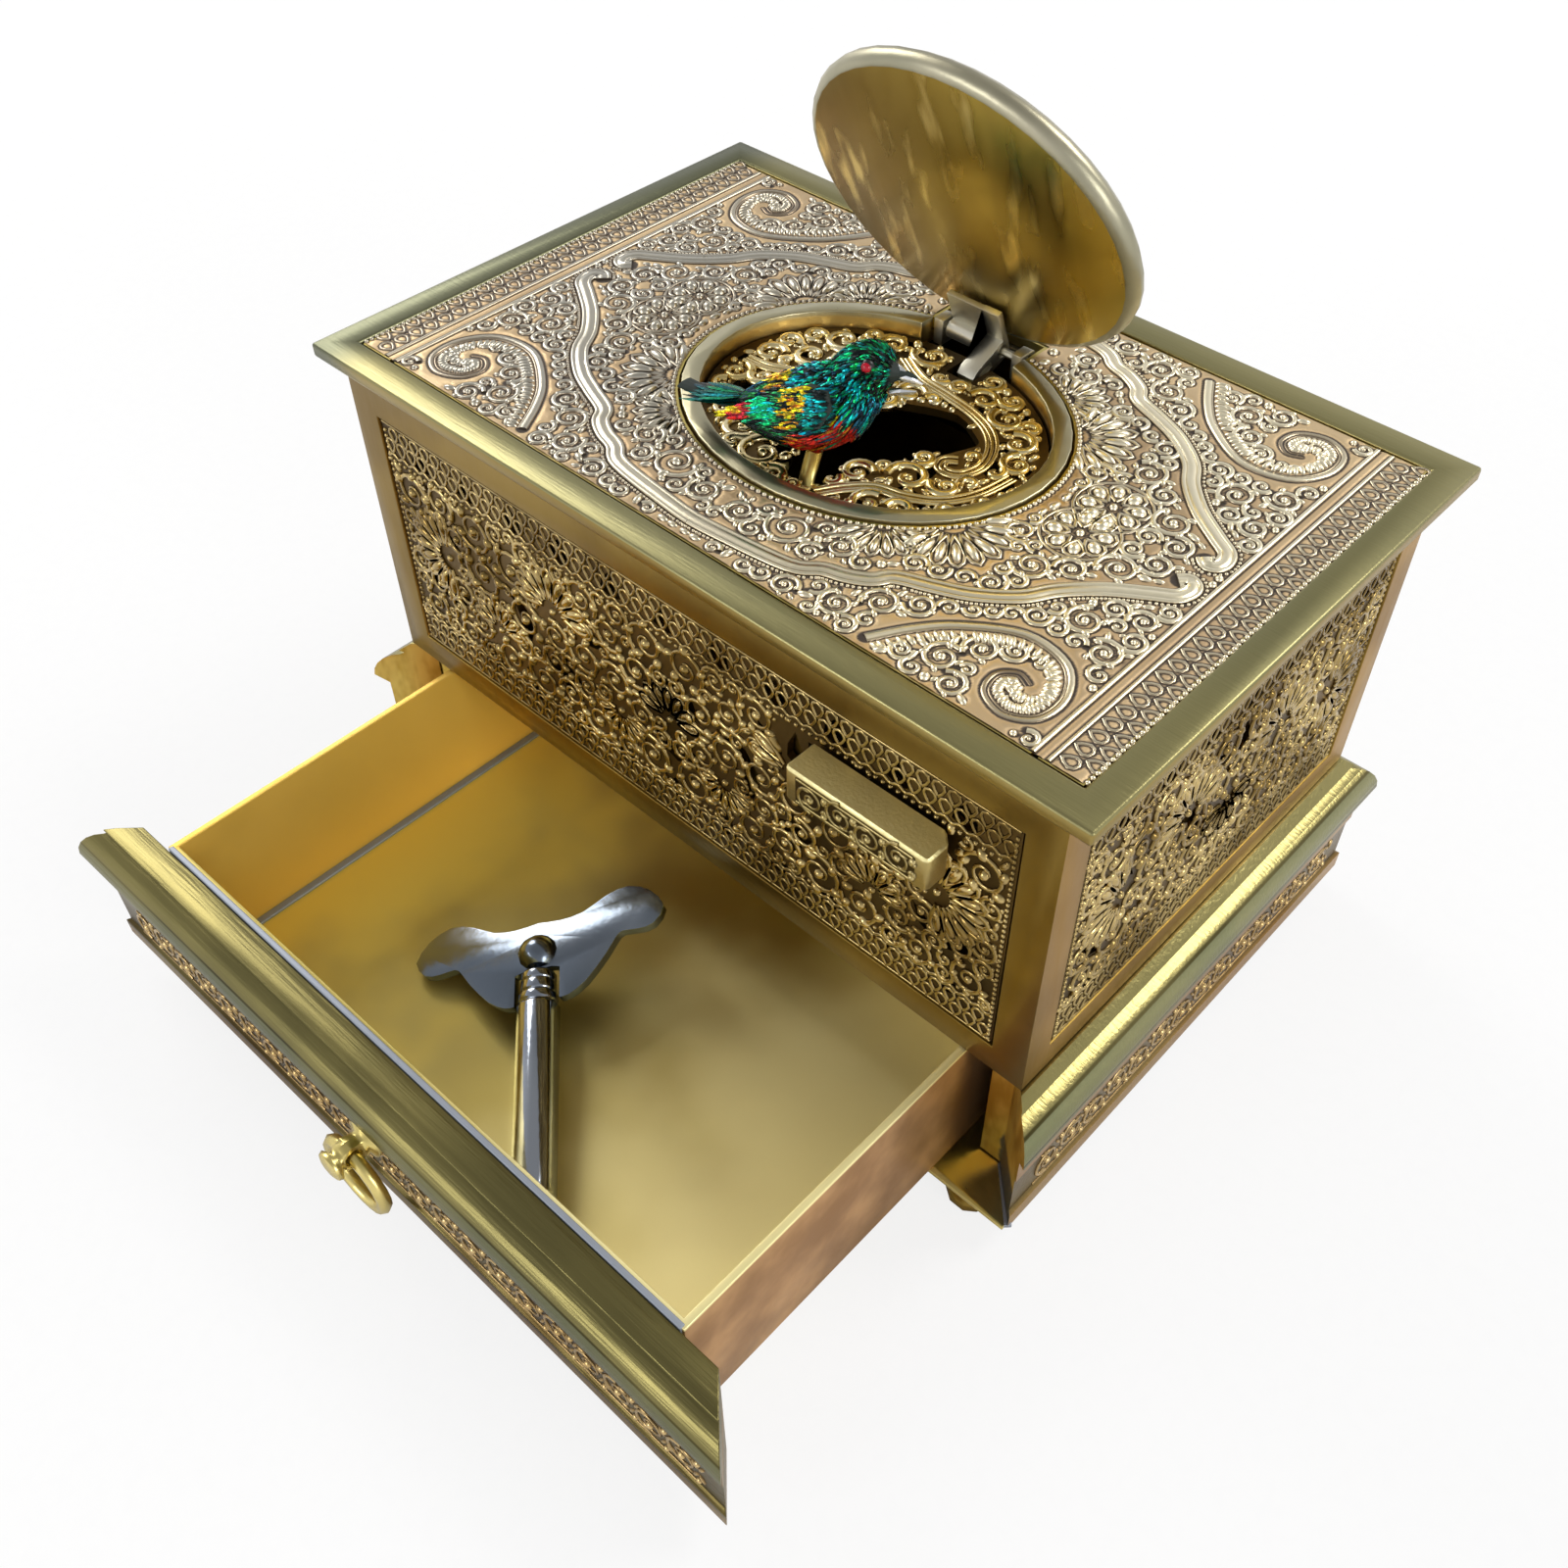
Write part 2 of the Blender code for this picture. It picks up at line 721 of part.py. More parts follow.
def build_grille(case):
    """The pierced oval grille: leaf openings round the bird's slot."""
    edge_a, edge_b = oval_a - fit, oval_b - fit
    outline = oval(edge_a, edge_b)
    slot = bird_aperture()
    notch_left, notch_right = lid_arm_left - 2 * fit, lid_arm_left + lid_arm_width + 2 * fit
    notch_y = hinge_y - lid_arm_length - 1.2
    leaves = []
    for row, (share, count, length, width) in enumerate(((0.89, 30, 3.4, 2.2), (0.73, 22, 3.8, 2.4),
                                                         (0.56, 16, 3.6, 2.2))):
        for k in range(count):
            t = 2 * math.pi * (k + 0.5 * row) / count
            x, y = edge_a * share * math.cos(t), edge_b * share * math.sin(t)
            lean = math.degrees(math.atan2(edge_b * math.sin(t), edge_a * math.cos(t))) + (58 if k % 2 else -58)
            leaf = teardrop(x, y, lean, length, width)
            if not any(notch_left - leaf_margin < px < notch_right + leaf_margin and py > notch_y - leaf_margin for px, py in leaf):
                leaves.append(leaf)
    loops = spaced([slot] + leaves, outline, leaf_margin)
    grille = add("grille", sheet([outline] + loops, grille_low, grille_top), (gilt, 0.3), case)
    cut(grille, block((notch_left, notch_right), (notch_y, 30), (grille_low - 1, grille_top + 1)))


def build_lid(case):
    """The oval lid, its steel arm, the hinge pin and the hinge bracket; returns the lid's axis."""
    turn = Matrix.Rotation(math.radians(-lid_open), 4, "X")
    axis = axis_empty("lid_axis", (0, hinge_y, hinge_z), case, turn)
    low = rim_top + fit - hinge_z
    bow = lid_thickness / 2
    rings = [(-1.1, low), (-0.35, low + 0.25 * bow), (0, low + 0.8 * bow), (-0.1, low + 1.25 * bow),
             (-0.9, low + 1.8 * bow), (-5.0, low + 2.1 * bow), (-12.0, low + 2.35 * bow)]
    centre = (0, lid_shift - hinge_y)
    shape = oval_stack([(lid_a + w, lid_b + w, z) for w, z in rings], centre=centre)
    add("lid_plate", shape, (brass, 0.2), axis)
    bore = pin_radius + fit
    arm_z = -lid_arm_length
    tab = low - fit
    outline = [(-5.4, tab), (-5.4, tab - 0.8), (-1.3, tab - 0.8), (-1.2, arm_z + 1), (-0.7, arm_z), (0.6, arm_z),
               (knuckle_radius, arm_z + 1), (knuckle_radius, 0.6), (0.6, tab)]
    eye = oval(bore, bore, 10)
    window = [(-0.5, arm_z + 1.1), (0.4, arm_z + 1.1), (0.4, arm_z + 3.3), (-0.5, arm_z + 3.3)]
    arm_right = lid_arm_left + lid_arm_width
    arm = add("lid_arm", along_x(sheet([outline, window], lid_arm_left, arm_right)), (steel, 0.3), axis)
    knuckle = along_x(sheet([oval(knuckle_radius, knuckle_radius, 16)], knuckle_left, lid_arm_left + 0.2))
    join(arm, knuckle, block((knuckle_left, lid_arm_left + 0.2), (-5.3, 0.1), (tab - 0.75, tab - 0.05)))
    cut(arm, along_x(sheet([eye], knuckle_left - 1, arm_right + 1)))
    ear_out = hinge_gap / 2 - fit
    pin = along_x(sheet([oval(pin_radius, pin_radius, 10)], -ear_out, ear_out))
    add("lid_hinge_pin", moved(pin, Matrix.Translation((0, hinge_y, hinge_z))), (steel, 0.3), case)
    shelf_high = panel_low_z - fit
    shelf_low = shelf_high - 1.2
    front, back = hinge_y - 1.3, half_y - wall - shelf_width - 2.35
    ear = [(front, shelf_low), (back, shelf_low), (back, shelf_high), (hinge_y + 1.4, shelf_high),
           (hinge_y + 1.4, hinge_z + 0.9), (hinge_y + 0.9, hinge_z + 1.2), (front, hinge_z + 1.2)]
    hole = oval(bore, bore, 10, (hinge_y, hinge_z))
    bracket = add("hinge_bracket", along_x(sheet([ear, hole], -ear_out, -ear_out + 1.3)), (steel, 0.35), case)
    join(bracket, along_x(sheet([ear, hole], ear_out - 1.3, ear_out)))
    join(bracket, block((-ear_out + 0.2, ear_out - 0.2), (hinge_y + 2.4, back - 0.1), (shelf_low + 0.05, shelf_high - 0.05)))
    return axis


def base_profile(low, high):
    """The base moulding from its foot to its top: (outward, z)."""
    quarter = []
    for k in range(6):
        a = math.radians(90 * k / 5)
        quarter.append((1.5 + 2.9 * math.cos(a), low + 15.8 + 3.6 * math.sin(a)))
    return [(-base_wall, low), (3.3, low), (3.3, low + 2.6), (2.8, low + 2.9), (2.8, low + 9.6), (3.1, low + 9.9),
            (3.1, low + 14.2)] + quarter + [(1.0, low + 19.7), (1.5, low + 20.1), (0.3, high), (-base_wall, high)]


def build_base(case):
    """The moulded base, open at the front, its plate and its four ball feet."""
    low = base_bottom
    profile = base_profile(low, base_top - fit)
    sides = [(-half_x, -half_y, -1, -1), (-half_x, half_y, -1, 1), (half_x, half_y, 1, 1), (half_x, -half_y, 1, -1)]
    base = add("base_moulding", moulding(profile, sides), (gilt, 0.28), case)
    for side in (-1, 1):
        near, far = half_x - jamb_width, half_x - base_wall + 0.5
        join(base, block(sorted((side * near, side * far)), (front_back_face + fit, front_back_face + fit + jamb_thickness),
                         (tray_low, base_top - fit - 0.1)))
    inner_x, inner_y = half_x - base_wall - fit, half_y - base_wall - fit
    outline = [(-inner_x, inner_y), (-inner_x, front_back_face), (-half_x - 3.3 + fit, -half_y - 3.3 - fit),
               (-half_x - 3.3 + fit, -half_y - base_plate_lip), (half_x + 3.3 - fit, -half_y - base_plate_lip),
               (half_x + 3.3 - fit, -half_y - 3.3 - fit), (inner_x, front_back_face), (inner_x, inner_y)]
    hole = oval(key_radius + 1.4, key_radius + 1.4, 20, (barrel_x, barrel_y))
    add("base_plate", sheet([outline, hole], low, low + base_plate_thickness), (brass, 0.4), case)
    top = low - fit
    ball = [(0, 0), (1.6, 0), (2.6, 0.5), (foot_radius, 1.4), (2.6, 2.3), (1.9, 2.7), (1.9, top), (0, top)]
    for name, x, y in (("foot_front_left", -1, -1), ("foot_front_right", 1, -1),
                       ("foot_back_left", -1, 1), ("foot_back_right", 1, 1)):
        place = Matrix.Translation((x * foot_x, y * foot_y, 0))
        add(name, moved(turned(ball, 10), place), (gilt, 0.25), case)


def build_drawer(case):
    """The drawer with its moulded front, pull and ring, and the key that lies in it."""
    slide = axis_empty("drawer_slide", (0, -drawer_travel, 0), case)
    front_y = front_back_face + fit
    tray = add("drawer_tray", block((-tray_half_width, tray_half_width), (front_y, front_y + tray_length),
                                    (tray_low, drawer_high)), (brass, 0.3), slide)
    inner = tray_half_width - tray_wall
    floor = tray_low + tray_floor
    cut(tray, block((-inner, inner), (front_y + tray_wall, front_y + tray_length - tray_wall), (floor, drawer_high + 1)))
    profile = base_profile(tray_low, drawer_high)
    reach = half_x - 2 * fit
    add("drawer_front", moulding(profile, [(-reach, -half_y, -1, -1), (reach, -half_y, 1, -1)]), (gilt, 0.28), slide)
    pull_z = tray_low + pull_rise
    eye = ring_wire + fit + 0.9
    eye_out = eye + 0.5
    stem = [(0, 0), (pull_flange, 0), (pull_flange, 0.5), (1.5, 0.8), (eye - 0.3, eye_out - 1.0), (eye, eye_out),
            (eye - 0.3, eye_out + 1.0), (1.2, pull_length - 1.5), (pull_flange - 0.5, pull_length - 1.0),
            (pull_flange - 0.7, pull_length - fit - 0.2), (1.2, pull_length - fit), (0, pull_length - fit)]
    place = Matrix.Translation((0, post_face_y - fit, pull_z)) @ Matrix.Rotation(math.radians(90), 4, "X")
    post = add("pull_post", moved(turned(stem, 12), place), (brass, 0.3), slide)
    eye_y = post_face_y - fit - eye_out
    bore = ring_wire + fit
    cut(post, along_x(moved(sheet([oval(bore, bore, 12)], -4, 4), Matrix.Translation((eye_y, pull_z, 0)))))
    for side in (-1, 1):
        cut(post, block(sorted((side * 1.0, side * 4)), (eye_y - 1.3, eye_y + 1.3), (pull_z - 4, pull_z + 4)))
    hinge = axis_empty("ring_axis", (0, eye_y, pull_z), slide)
    add("pull_ring", ring_pull(), (brass, 0.25), hinge)
    build_key(slide, floor)


def ring_pull():
    """The hanging ring: a torus whose top passes through the post's eye along X."""
    shape = bmesh.new()
    rows = []
    around, wires = 20, 6
    for k in range(around):
        a = 2 * math.pi * k / around
        row = []
        for j in range(wires):
            b = 2 * math.pi * j / wires
            r = ring_radius + ring_wire * math.cos(b)
            row.append(shape.verts.new((r * math.sin(a), ring_wire * math.sin(b), -ring_radius + r * math.cos(a))))
        rows.append(row)
    for k, row in enumerate(rows):
        after = rows[(k + 1) % around]
        for j in range(wires):
            n = (j + 1) % wires
            shape.faces.new((row[j], row[n], after[n], after[j]))
    return shape


def smooth_line(points, between=2):
    """A curve through the points, with more points between them."""
    line = [points[0]] + points + [points[-1]]
    made = []
    for a, b, c, d in zip(line, line[1:], line[2:], line[3:]):
        a, b, c, d = Vector(a), Vector(b), Vector(c), Vector(d)
        for j in range(between):
            t = j / between
            p = b + (c - a) * t / 2 + (a * 2 - b * 5 + c * 4 - d) * t * t / 2 + (b * 3 - a - c * 3 + d) * t ** 3 / 2
            made.append((p.x, p.y))
    return made + [points[-1]]


def key_place(floor):
    """How the key lies: on the tip of one wing of its bow and on the end of its barrel."""
    roll = math.radians(key_roll)
    bow_height = bow_reach * math.sin(roll) + bow_thickness / 2
    pitch = math.asin((bow_height - key_radius) / key_length)
    lay = (Matrix.Rotation(math.radians(key_heading), 4, "Z") @ Matrix.Rotation(pitch, 4, "Y")
           @ Matrix.Rotation(roll, 4, "X"))
    return Matrix.Translation((key_x, key_y + drawer_travel, floor + fit + bow_height)) @ lay


def build_key(slide, floor):
    """The winding key: a turned barrel with a square socket, and a plain bow with two wings."""
    place = key_place(floor)
    stem = [(0, 2.3), (2.0, 2.3), (2.2, 2.6), (2.2, 3.4), (2.0, 3.6), (2.2, 3.8), (2.2, 4.9), (2.0, 5.1),
            (2.45, 5.5), (2.45, 6.3), (2.25, 6.6), (key_radius, 7.1), (key_radius, key_length - 0.3),
            (key_radius - 0.3, key_length), (0, key_length)]
    lay = place @ Matrix.Rotation(math.radians(90), 4, "Y")
    barrel = add("key_barrel", moved(turned(stem, 14), lay), (steel, 0.15), slide)
    half = key_socket
    cut(barrel, moved(block((-half, half), (-half, half), (key_length - key_socket_depth, key_length + 1)), lay))
    side = key_radius + fit
    neck = [(1.8, 0.0), (1.8, 1.9), (2.1, side), (6.4, side)]
    wing = smooth_line([(6.4, side), (6.3, 4.2), (4.9, 6.4), (1.8, 9.0), (-0.2, 10.3), (-0.9, 11.2), (-0.7, 13.2),
                        (-1.0, 15.2), (-3.2, bow_reach), (-5.9, 14.9), (-7.3, 12.0), (-6.6, 9.0), (-5.0, 6.0),
                        (-4.6, 3.0), (-4.9, 0.0)])
    outline = neck[:-1] + wing
    outline += [(x, -y) for x, y in outline[-2:0:-1]]
    half = bow_thickness / 2
    bow = add("key_bow", moved(sheet([outline], -half, half), place), (steel, 0.15), slide)
    tall = key_ball * 0.9
    ball = [(0, -tall)] + [(key_ball * math.cos(a), tall * math.sin(a))
                           for a in [math.radians(-54 + 27 * k) for k in range(5)]] + [(0, tall)]
    join(bow, moved(turned(ball, 12), place @ Matrix.Translation((-0.6, 0, 0)) @ Matrix.Rotation(math.radians(90), 4, "Y")))


def build_start(case):
    """The start lever: grip outside, slide with its stem inside."""
    slide = axis_empty("start_axis", (0, 0, 0), case)
    top = rim_top - grip_top
    low = top - grip_height
    y_back = -half_y - fit
    y_front = y_back - grip_depth
    right = grip_left + grip_length
    outline = [(grip_left, y_back), (grip_left, y_front + 0.3), (grip_left + 0.3, y_front), (right - 0.4, y_front),
               (right, y_front + 0.4), (right, y_back - 1.2), (right - 1.2, y_back)]
    grip = add("start_grip", sheet([outline], low, top), (brass, 0.35), slide)
    soften = grip.modifiers.new("Soft edge", "BEVEL")
    soften.width = 0.25 * metre
    soften.segments = 1
    inner = -half_y + wall + fit
    (left, right), (slot_low, slot_high) = slot_span()
    stem_left = grip_left + (grip_length - stem_length) / 2
    bar = add("start_slide", block((stem_left - 7, stem_left + stem_length + 7), (inner, inner + 1.2), (low - 1, top + 1)),
              (steel, 0.35), slide)
    join(bar, block((stem_left, stem_left + stem_length), (y_back + fit, inner + 0.5), (slot_low + fit, slot_high - fit)))


def wheel(teeth, module, z, turn, spokes=0, bore=0.0, backlash=0.12):
    """A crossed-out wheel as a sheet with a bore."""
    outline = spin_z(gear_outline(teeth, module, backlash=backlash), turn)
    loops = [outline]
    if bore:
        loops.append(oval(bore, bore, 12))
    if spokes:
        rim = teeth * module / 2 - 1.15 * module - 1.6
        hub = arbor_radius + 1.7
        for k in range(spokes):
            window = []
            for j in range(5):
                a = math.radians(360 / spokes * (k + 0.12 + 0.76 * j / 4))
                window.append((rim * math.cos(a), rim * math.sin(a)))
            for j in range(3):
                a = math.radians(360 / spokes * (k + 0.76 - 0.52 * j / 2))
                window.append((hub * math.cos(a), hub * math.sin(a)))
            loops.append(window)
    return sheet(loops, z, z + wheel_thickness)


def arbor_places():
    """Centres of the train: each wheel stands one mesh distance from the last."""
    barrel = Vector((barrel_x, barrel_y))
    reach = (barrel_teeth + pinion_teeth) * barrel_module / 2
    second = barrel + reach * Vector((math.cos(math.radians(second_heading)), math.sin(math.radians(second_heading))))
    reach = (second_teeth + pinion_teeth) * second_module / 2
    third = second + reach * Vector((math.cos(math.radians(third_heading)), math.sin(math.radians(third_heading))))
    reach = (third_teeth + pinion_teeth) * third_module / 2
    fly = third + reach * Vector((math.cos(math.radians(fly_heading)), math.sin(math.radians(fly_heading))))
    return barrel, second, third, fly


def mesh_turn(teeth, heading, driver_teeth, driver_turn):
    """How far a gear is turned so that a gap faces the driver's tooth along the heading."""
    driver_phase = (heading - driver_turn) * driver_teeth / 360
    return heading + 180 + (0.5 + driver_phase) * 360 / teeth


def build_train(case):
    """Barrel, second and third wheels, fly, cams and winding work."""
    barrel, second, third, fly = arbor_places()
    floor = movement_floor
    ceiling = upper_plate_z
    wheel_z = floor + 1.6
    drum_z = wheel_z + wheel_thickness
    axis = axis_empty("barrel_axis", (barrel.x, barrel.y, 0), case)
    bore = winding_radius + fit
    drum = add("spring_barrel", wheel(barrel_teeth, barrel_module, wheel_z, 0, bore=bore), (brass, 0.35), axis)
    join(drum, tube(barrel_radius, bore, drum_z - 0.2, drum_z + barrel_height, 24))
    winding = axis_empty("winding_axis", (barrel.x, barrel.y, 0), case)
    square = 1.1
    stem_top = ceiling + plate_thickness + 2.2
    arbor = add("winding_arbor", rod(winding_radius, lower_plate_z - 0.1, stem_top, 16), (steel, 0.3), winding)
    join(arbor, block((-square, square), (-square, square), (base_top + 0.4, lower_plate_z + 0.3)))
    teeth = []
    for k in range(ratchet_teeth):
        a = 2 * math.pi * k / ratchet_teeth
        b = 2 * math.pi * (k + 0.85) / ratchet_teeth
        teeth += [(ratchet_radius * math.cos(a), ratchet_radius * math.sin(a)),
                  ((ratchet_radius - 0.9) * math.cos(b), (ratchet_radius - 0.9) * math.sin(b))]
    ratchet_z = ceiling + plate_thickness + 0.6
    add("ratchet_wheel", sheet([teeth, oval(bore, bore, 16)], ratchet_z, ratchet_z + 1.2), (steel, 0.35), winding)
    click_x = ratchet_radius + 2.6
    click_axis = axis_empty("click_axis", (barrel.x + click_x, barrel.y + 5.0, 0), case)
    nose = [(-1.6, 0.6), (-2.2, -1.2), (-2.0, -3.6), (-1.1, -3.2), (0.9, -1.6), (1.6, 0), (1.1, 1.2), (0, 1.6), (-1.1, 1.4)]
    add("click", sheet([nose, oval(0.8, 0.8, 10)], ratchet_z, ratchet_z + 1.2), (steel, 0.3), click_axis)
    turn = mesh_turn(pinion_teeth, second_heading, barrel_teeth, 0)
    second_axis = axis_empty("second_axis", (second.x, second.y, 0), case)
    high_z = ceiling - 1.2 - wheel_thickness
    piece = add("second_wheel", wheel(second_teeth, second_module, high_z, 0, 5), (brass, 0.3), second_axis)
    pivot_low, pivot_high = lower_plate_z + fit, ceiling + plate_thickness - fit
    pinion = sheet([spin_z(gear_outline(pinion_teeth, barrel_module), turn)], wheel_z - 0.6, wheel_z - 0.6 + pinion_height)
    join(piece, rod(arbor_radius, pivot_low, pivot_high), pinion)
    cams = cam_outline(0)
    cam_z = wheel_z + pinion_height + 0.6
    cam_bore = arbor_radius + fit
    stack = add("cam_stack", sheet([cams, oval(cam_bore, cam_bore, 16)], cam_z, cam_z + cam_thickness), (steel, 0.3), second_axis)
    for k in (1, 2):
        z = cam_z + k * (cam_thickness + cam_step)
        join(stack, tube(3.0, cam_bore, z - cam_step - 0.2, z + 0.2, 12))
        join(stack, sheet([cam_outline(k), oval(cam_bore, cam_bore, 16)], z, z + cam_thickness))
    middle_z = cam_z + 3 * cam_thickness + 2 * cam_step + 0.6
    third_axis = axis_empty("third_axis", (third.x, third.y, 0), case)
    turn = mesh_turn(pinion_teeth, third_heading, second_teeth, 0)
    piece = add("third_wheel", wheel(third_teeth, third_module, middle_z, 0, 4), (brass, 0.3), third_axis)
    pinion = sheet([spin_z(gear_outline(pinion_teeth, second_module), turn)], high_z - 1.0, high_z - 1.0 + pinion_height - 1.0)
    join(piece, rod(arbor_radius, pivot_low, pivot_high), pinion)
    fly_axis = axis_empty("fly_axis", (fly.x, fly.y, 0), case)
    turn = mesh_turn(pinion_teeth, fly_heading, third_teeth, 0)
    fan_z = middle_z + wheel_thickness + 0.6
    vane = block((-fly_radius, fly_radius), (-0.35, 0.35), (fan_z, high_z - 2 * fit))
    piece = add("air_fly", vane, (brass, 0.3), fly_axis)
    pinion = sheet([spin_z(gear_outline(pinion_teeth, third_module), turn)], middle_z - 1.2, middle_z - 1.2 + pinion_height)
    join(piece, rod(arbor_radius, pivot_low, pivot_high), pinion)
    build_levers(case, cam_z)


def cam_outline(index):
    """A cam with lobes that differ from disc to disc."""
    loop = []
    steps = 22
    for k in range(steps):
        t = 2 * math.pi * k / steps
        lift = 0.45 * math.sin((3 + index) * t + index) + 0.3 * math.sin((5 - index) * t)
        loop.append(((cam_radius - 0.8 + lift) * math.cos(t), (cam_radius - 0.8 + lift) * math.sin(t)))
    return loop


def lever_pivot():
    """The stud of the cam levers: one arm length along the tangent at the front of the cams."""
    second = arbor_places()[1]
    return second + Vector((lever_length, -cam_radius - fit - lever_nose))


def build_levers(case, cam_z):
    """Two levers that ride on the cams, one over the other on one stud of the lower plate."""
    x, y = lever_pivot()
    for name, level in (("song_lever", 0), ("beak_lever", 2)):
        axis = axis_empty(name + "_axis", (x, y, 0), case)
        z = cam_z + level * (cam_thickness + cam_step) + 0.1
        reach = -lever_length
        arm = [(reach - 0.6, -0.6), (-1.2, -1.8), (1.0, -1.8), (1.8, -1.0), (1.8, 1.0), (1.0, 1.8), (-1.2, 1.8),
               (reach + 0.9, 0.9), (reach + 0.4, lever_nose), (reach - 0.4, lever_nose)]
        bore = stud_radius + fit
        add(name, sheet([arm, oval(bore, bore, 10)], z, z + lever_thickness), (steel, 0.3), axis)


def build_plates(case):
    """Lower and upper plates with their bearing holes, and the pillars and studs between them."""
    barrel, second, third, fly = arbor_places()
    bores = [(second, arbor_radius + fit), (third, arbor_radius + fit), (fly, arbor_radius + fit)]
    outline = [(-lower_plate_half, -movement_half_depth), (lower_plate_half, -movement_half_depth),
               (lower_plate_half, movement_half_depth), (-lower_plate_half, movement_half_depth)]
    holes = [oval(r, r, 12, tuple(c)) for c, r in bores]
    holes.append(oval(winding_radius + fit, winding_radius + fit, 16, tuple(barrel)))
    lower = add("lower_plate", sheet([outline] + holes, lower_plate_z, movement_floor), (brass, 0.35), case)
    deep = movement_half_depth - 1
    train_right = fly.x + upper_plate_margin
    outline = [(train_left, -deep), (train_right, -deep), (train_right, deep), (train_left, deep)]
    upper = add("upper_plate", sheet([outline] + holes, upper_plate_z, upper_plate_z + plate_thickness), (brass, 0.35), case)
    click_x = ratchet_radius + 2.6
    stud = moved(rod(0.5, upper_plate_z + 0.5, upper_plate_z + plate_thickness + 2.0, 8),
                 Matrix.Translation((barrel.x + click_x, barrel.y + 5.0, 0)))
    join(upper, stud)
    x, y = lever_pivot()
    stud_top = movement_floor + 1.6 + pinion_height + 0.6 + 3 * cam_thickness + 2 * cam_step
    join(lower, moved(rod(stud_radius, lower_plate_z + 0.5, stud_top, 10), Matrix.Translation((x, y, 0))))
    low, high = movement_floor + fit, upper_plate_z - fit
    shaft = [(0, low), (pillar_radius + 0.6, low), (pillar_radius + 0.6, low + 1.2), (pillar_radius, low + 1.8),
             (pillar_radius, high - 1.8), (pillar_radius + 0.6, high - 1.2), (pillar_radius + 0.6, high), (0, high)]
    for name, x, y in (("pillar_front_left", train_left + 3.4, -pillar_y), ("pillar_front_right", train_right - 3.4, -pillar_y),
                       ("pillar_back_left", train_left + 3.4, pillar_y), ("pillar_back_right", train_right - 3.4, pillar_y)):
        add(name, moved(turned(shaft, 10), Matrix.Translation((x, y, 0))), (brass, 0.3), case)


def build_bellows(case):
    """Bellows with a hinged board, and the whistle with its sliding piston."""
    low = movement_floor + fit
    right = bellows_x + bellows_length
    y0, y1 = bellows_y - bellows_width / 2, bellows_y + bellows_width / 2
    add("bellows_bed", block((bellows_x, right), (y0, y1), (low, low + board_thickness)), (brass, 0.4), case)
    z = low + board_thickness + fit
    skin = [(bellows_x + 0.6, z), (right - 0.6, z), (right - 0.6, z + leather_height)]
    folds = 3
    for k in range(folds * 2):
        share = (k + 1) / (folds * 2 + 1)
        dip = 0.5 if k % 2 == 0 else 0.0
        skin.append((right - 0.6 - share * (bellows_length - 1.2), z + leather_height - dip))
    skin.append((bellows_x + 0.6, z + leather_height))
    add("bellows_leather", moved(upright(sheet([skin], y0 + 0.6, y1 - 0.6)), Matrix.Scale(-1, 4, (0, 1, 0))),
        ((0.75, 0.68, 0.55), 0.8, 0.0), case)
    board_z = z + leather_height + fit
    axis = axis_empty("bellows_axis", (right, bellows_y, board_z), case)
    add("bellows_board", block((-bellows_length, 0.0), (-bellows_width / 2, bellows_width / 2), (0, board_thickness)),
        (brass, 0.35), axis)
    tube_z = low + 1.0 + whistle_radius + 1.0
    place = Matrix.Translation((bellows_x, whistle_y, tube_z)) @ Matrix.Rotation(math.radians(90), 4, "Y")
    whistle = add("whistle_tube", moved(rod(whistle_radius, 0, whistle_length, 20), place), (brass, 0.3), case)
    join(whistle, block((bellows_x + 2, bellows_x + whistle_length - 2), (whistle_y - 2, whistle_y + 2), (low, tube_z - 1)))
    cut(whistle, moved(rod(whistle_bore, -1, whistle_length - 3, 16), place))
    cut(whistle, block((bellows_x + whistle_length - 7, bellows_x + whistle_length - 5), (whistle_y - 1.5, whistle_y + 1.5),
                       (tube_z, tube_z + whistle_radius + 1)))
    piston_axis = axis_empty("piston_axis", (bellows_x, whistle_y, tube_z), case)
    core = whistle_bore - fit
    shape = [(0, -2.5), (0.9, -2.5), (0.9, 6.0), (core, 6.0), (core, 9.0), (0, 9.0)]
    add("whistle_piston", moved(turned(shape, 12), Matrix.Rotation(math.radians(90), 4, "Y")), (steel, 0.3), piston_axis)


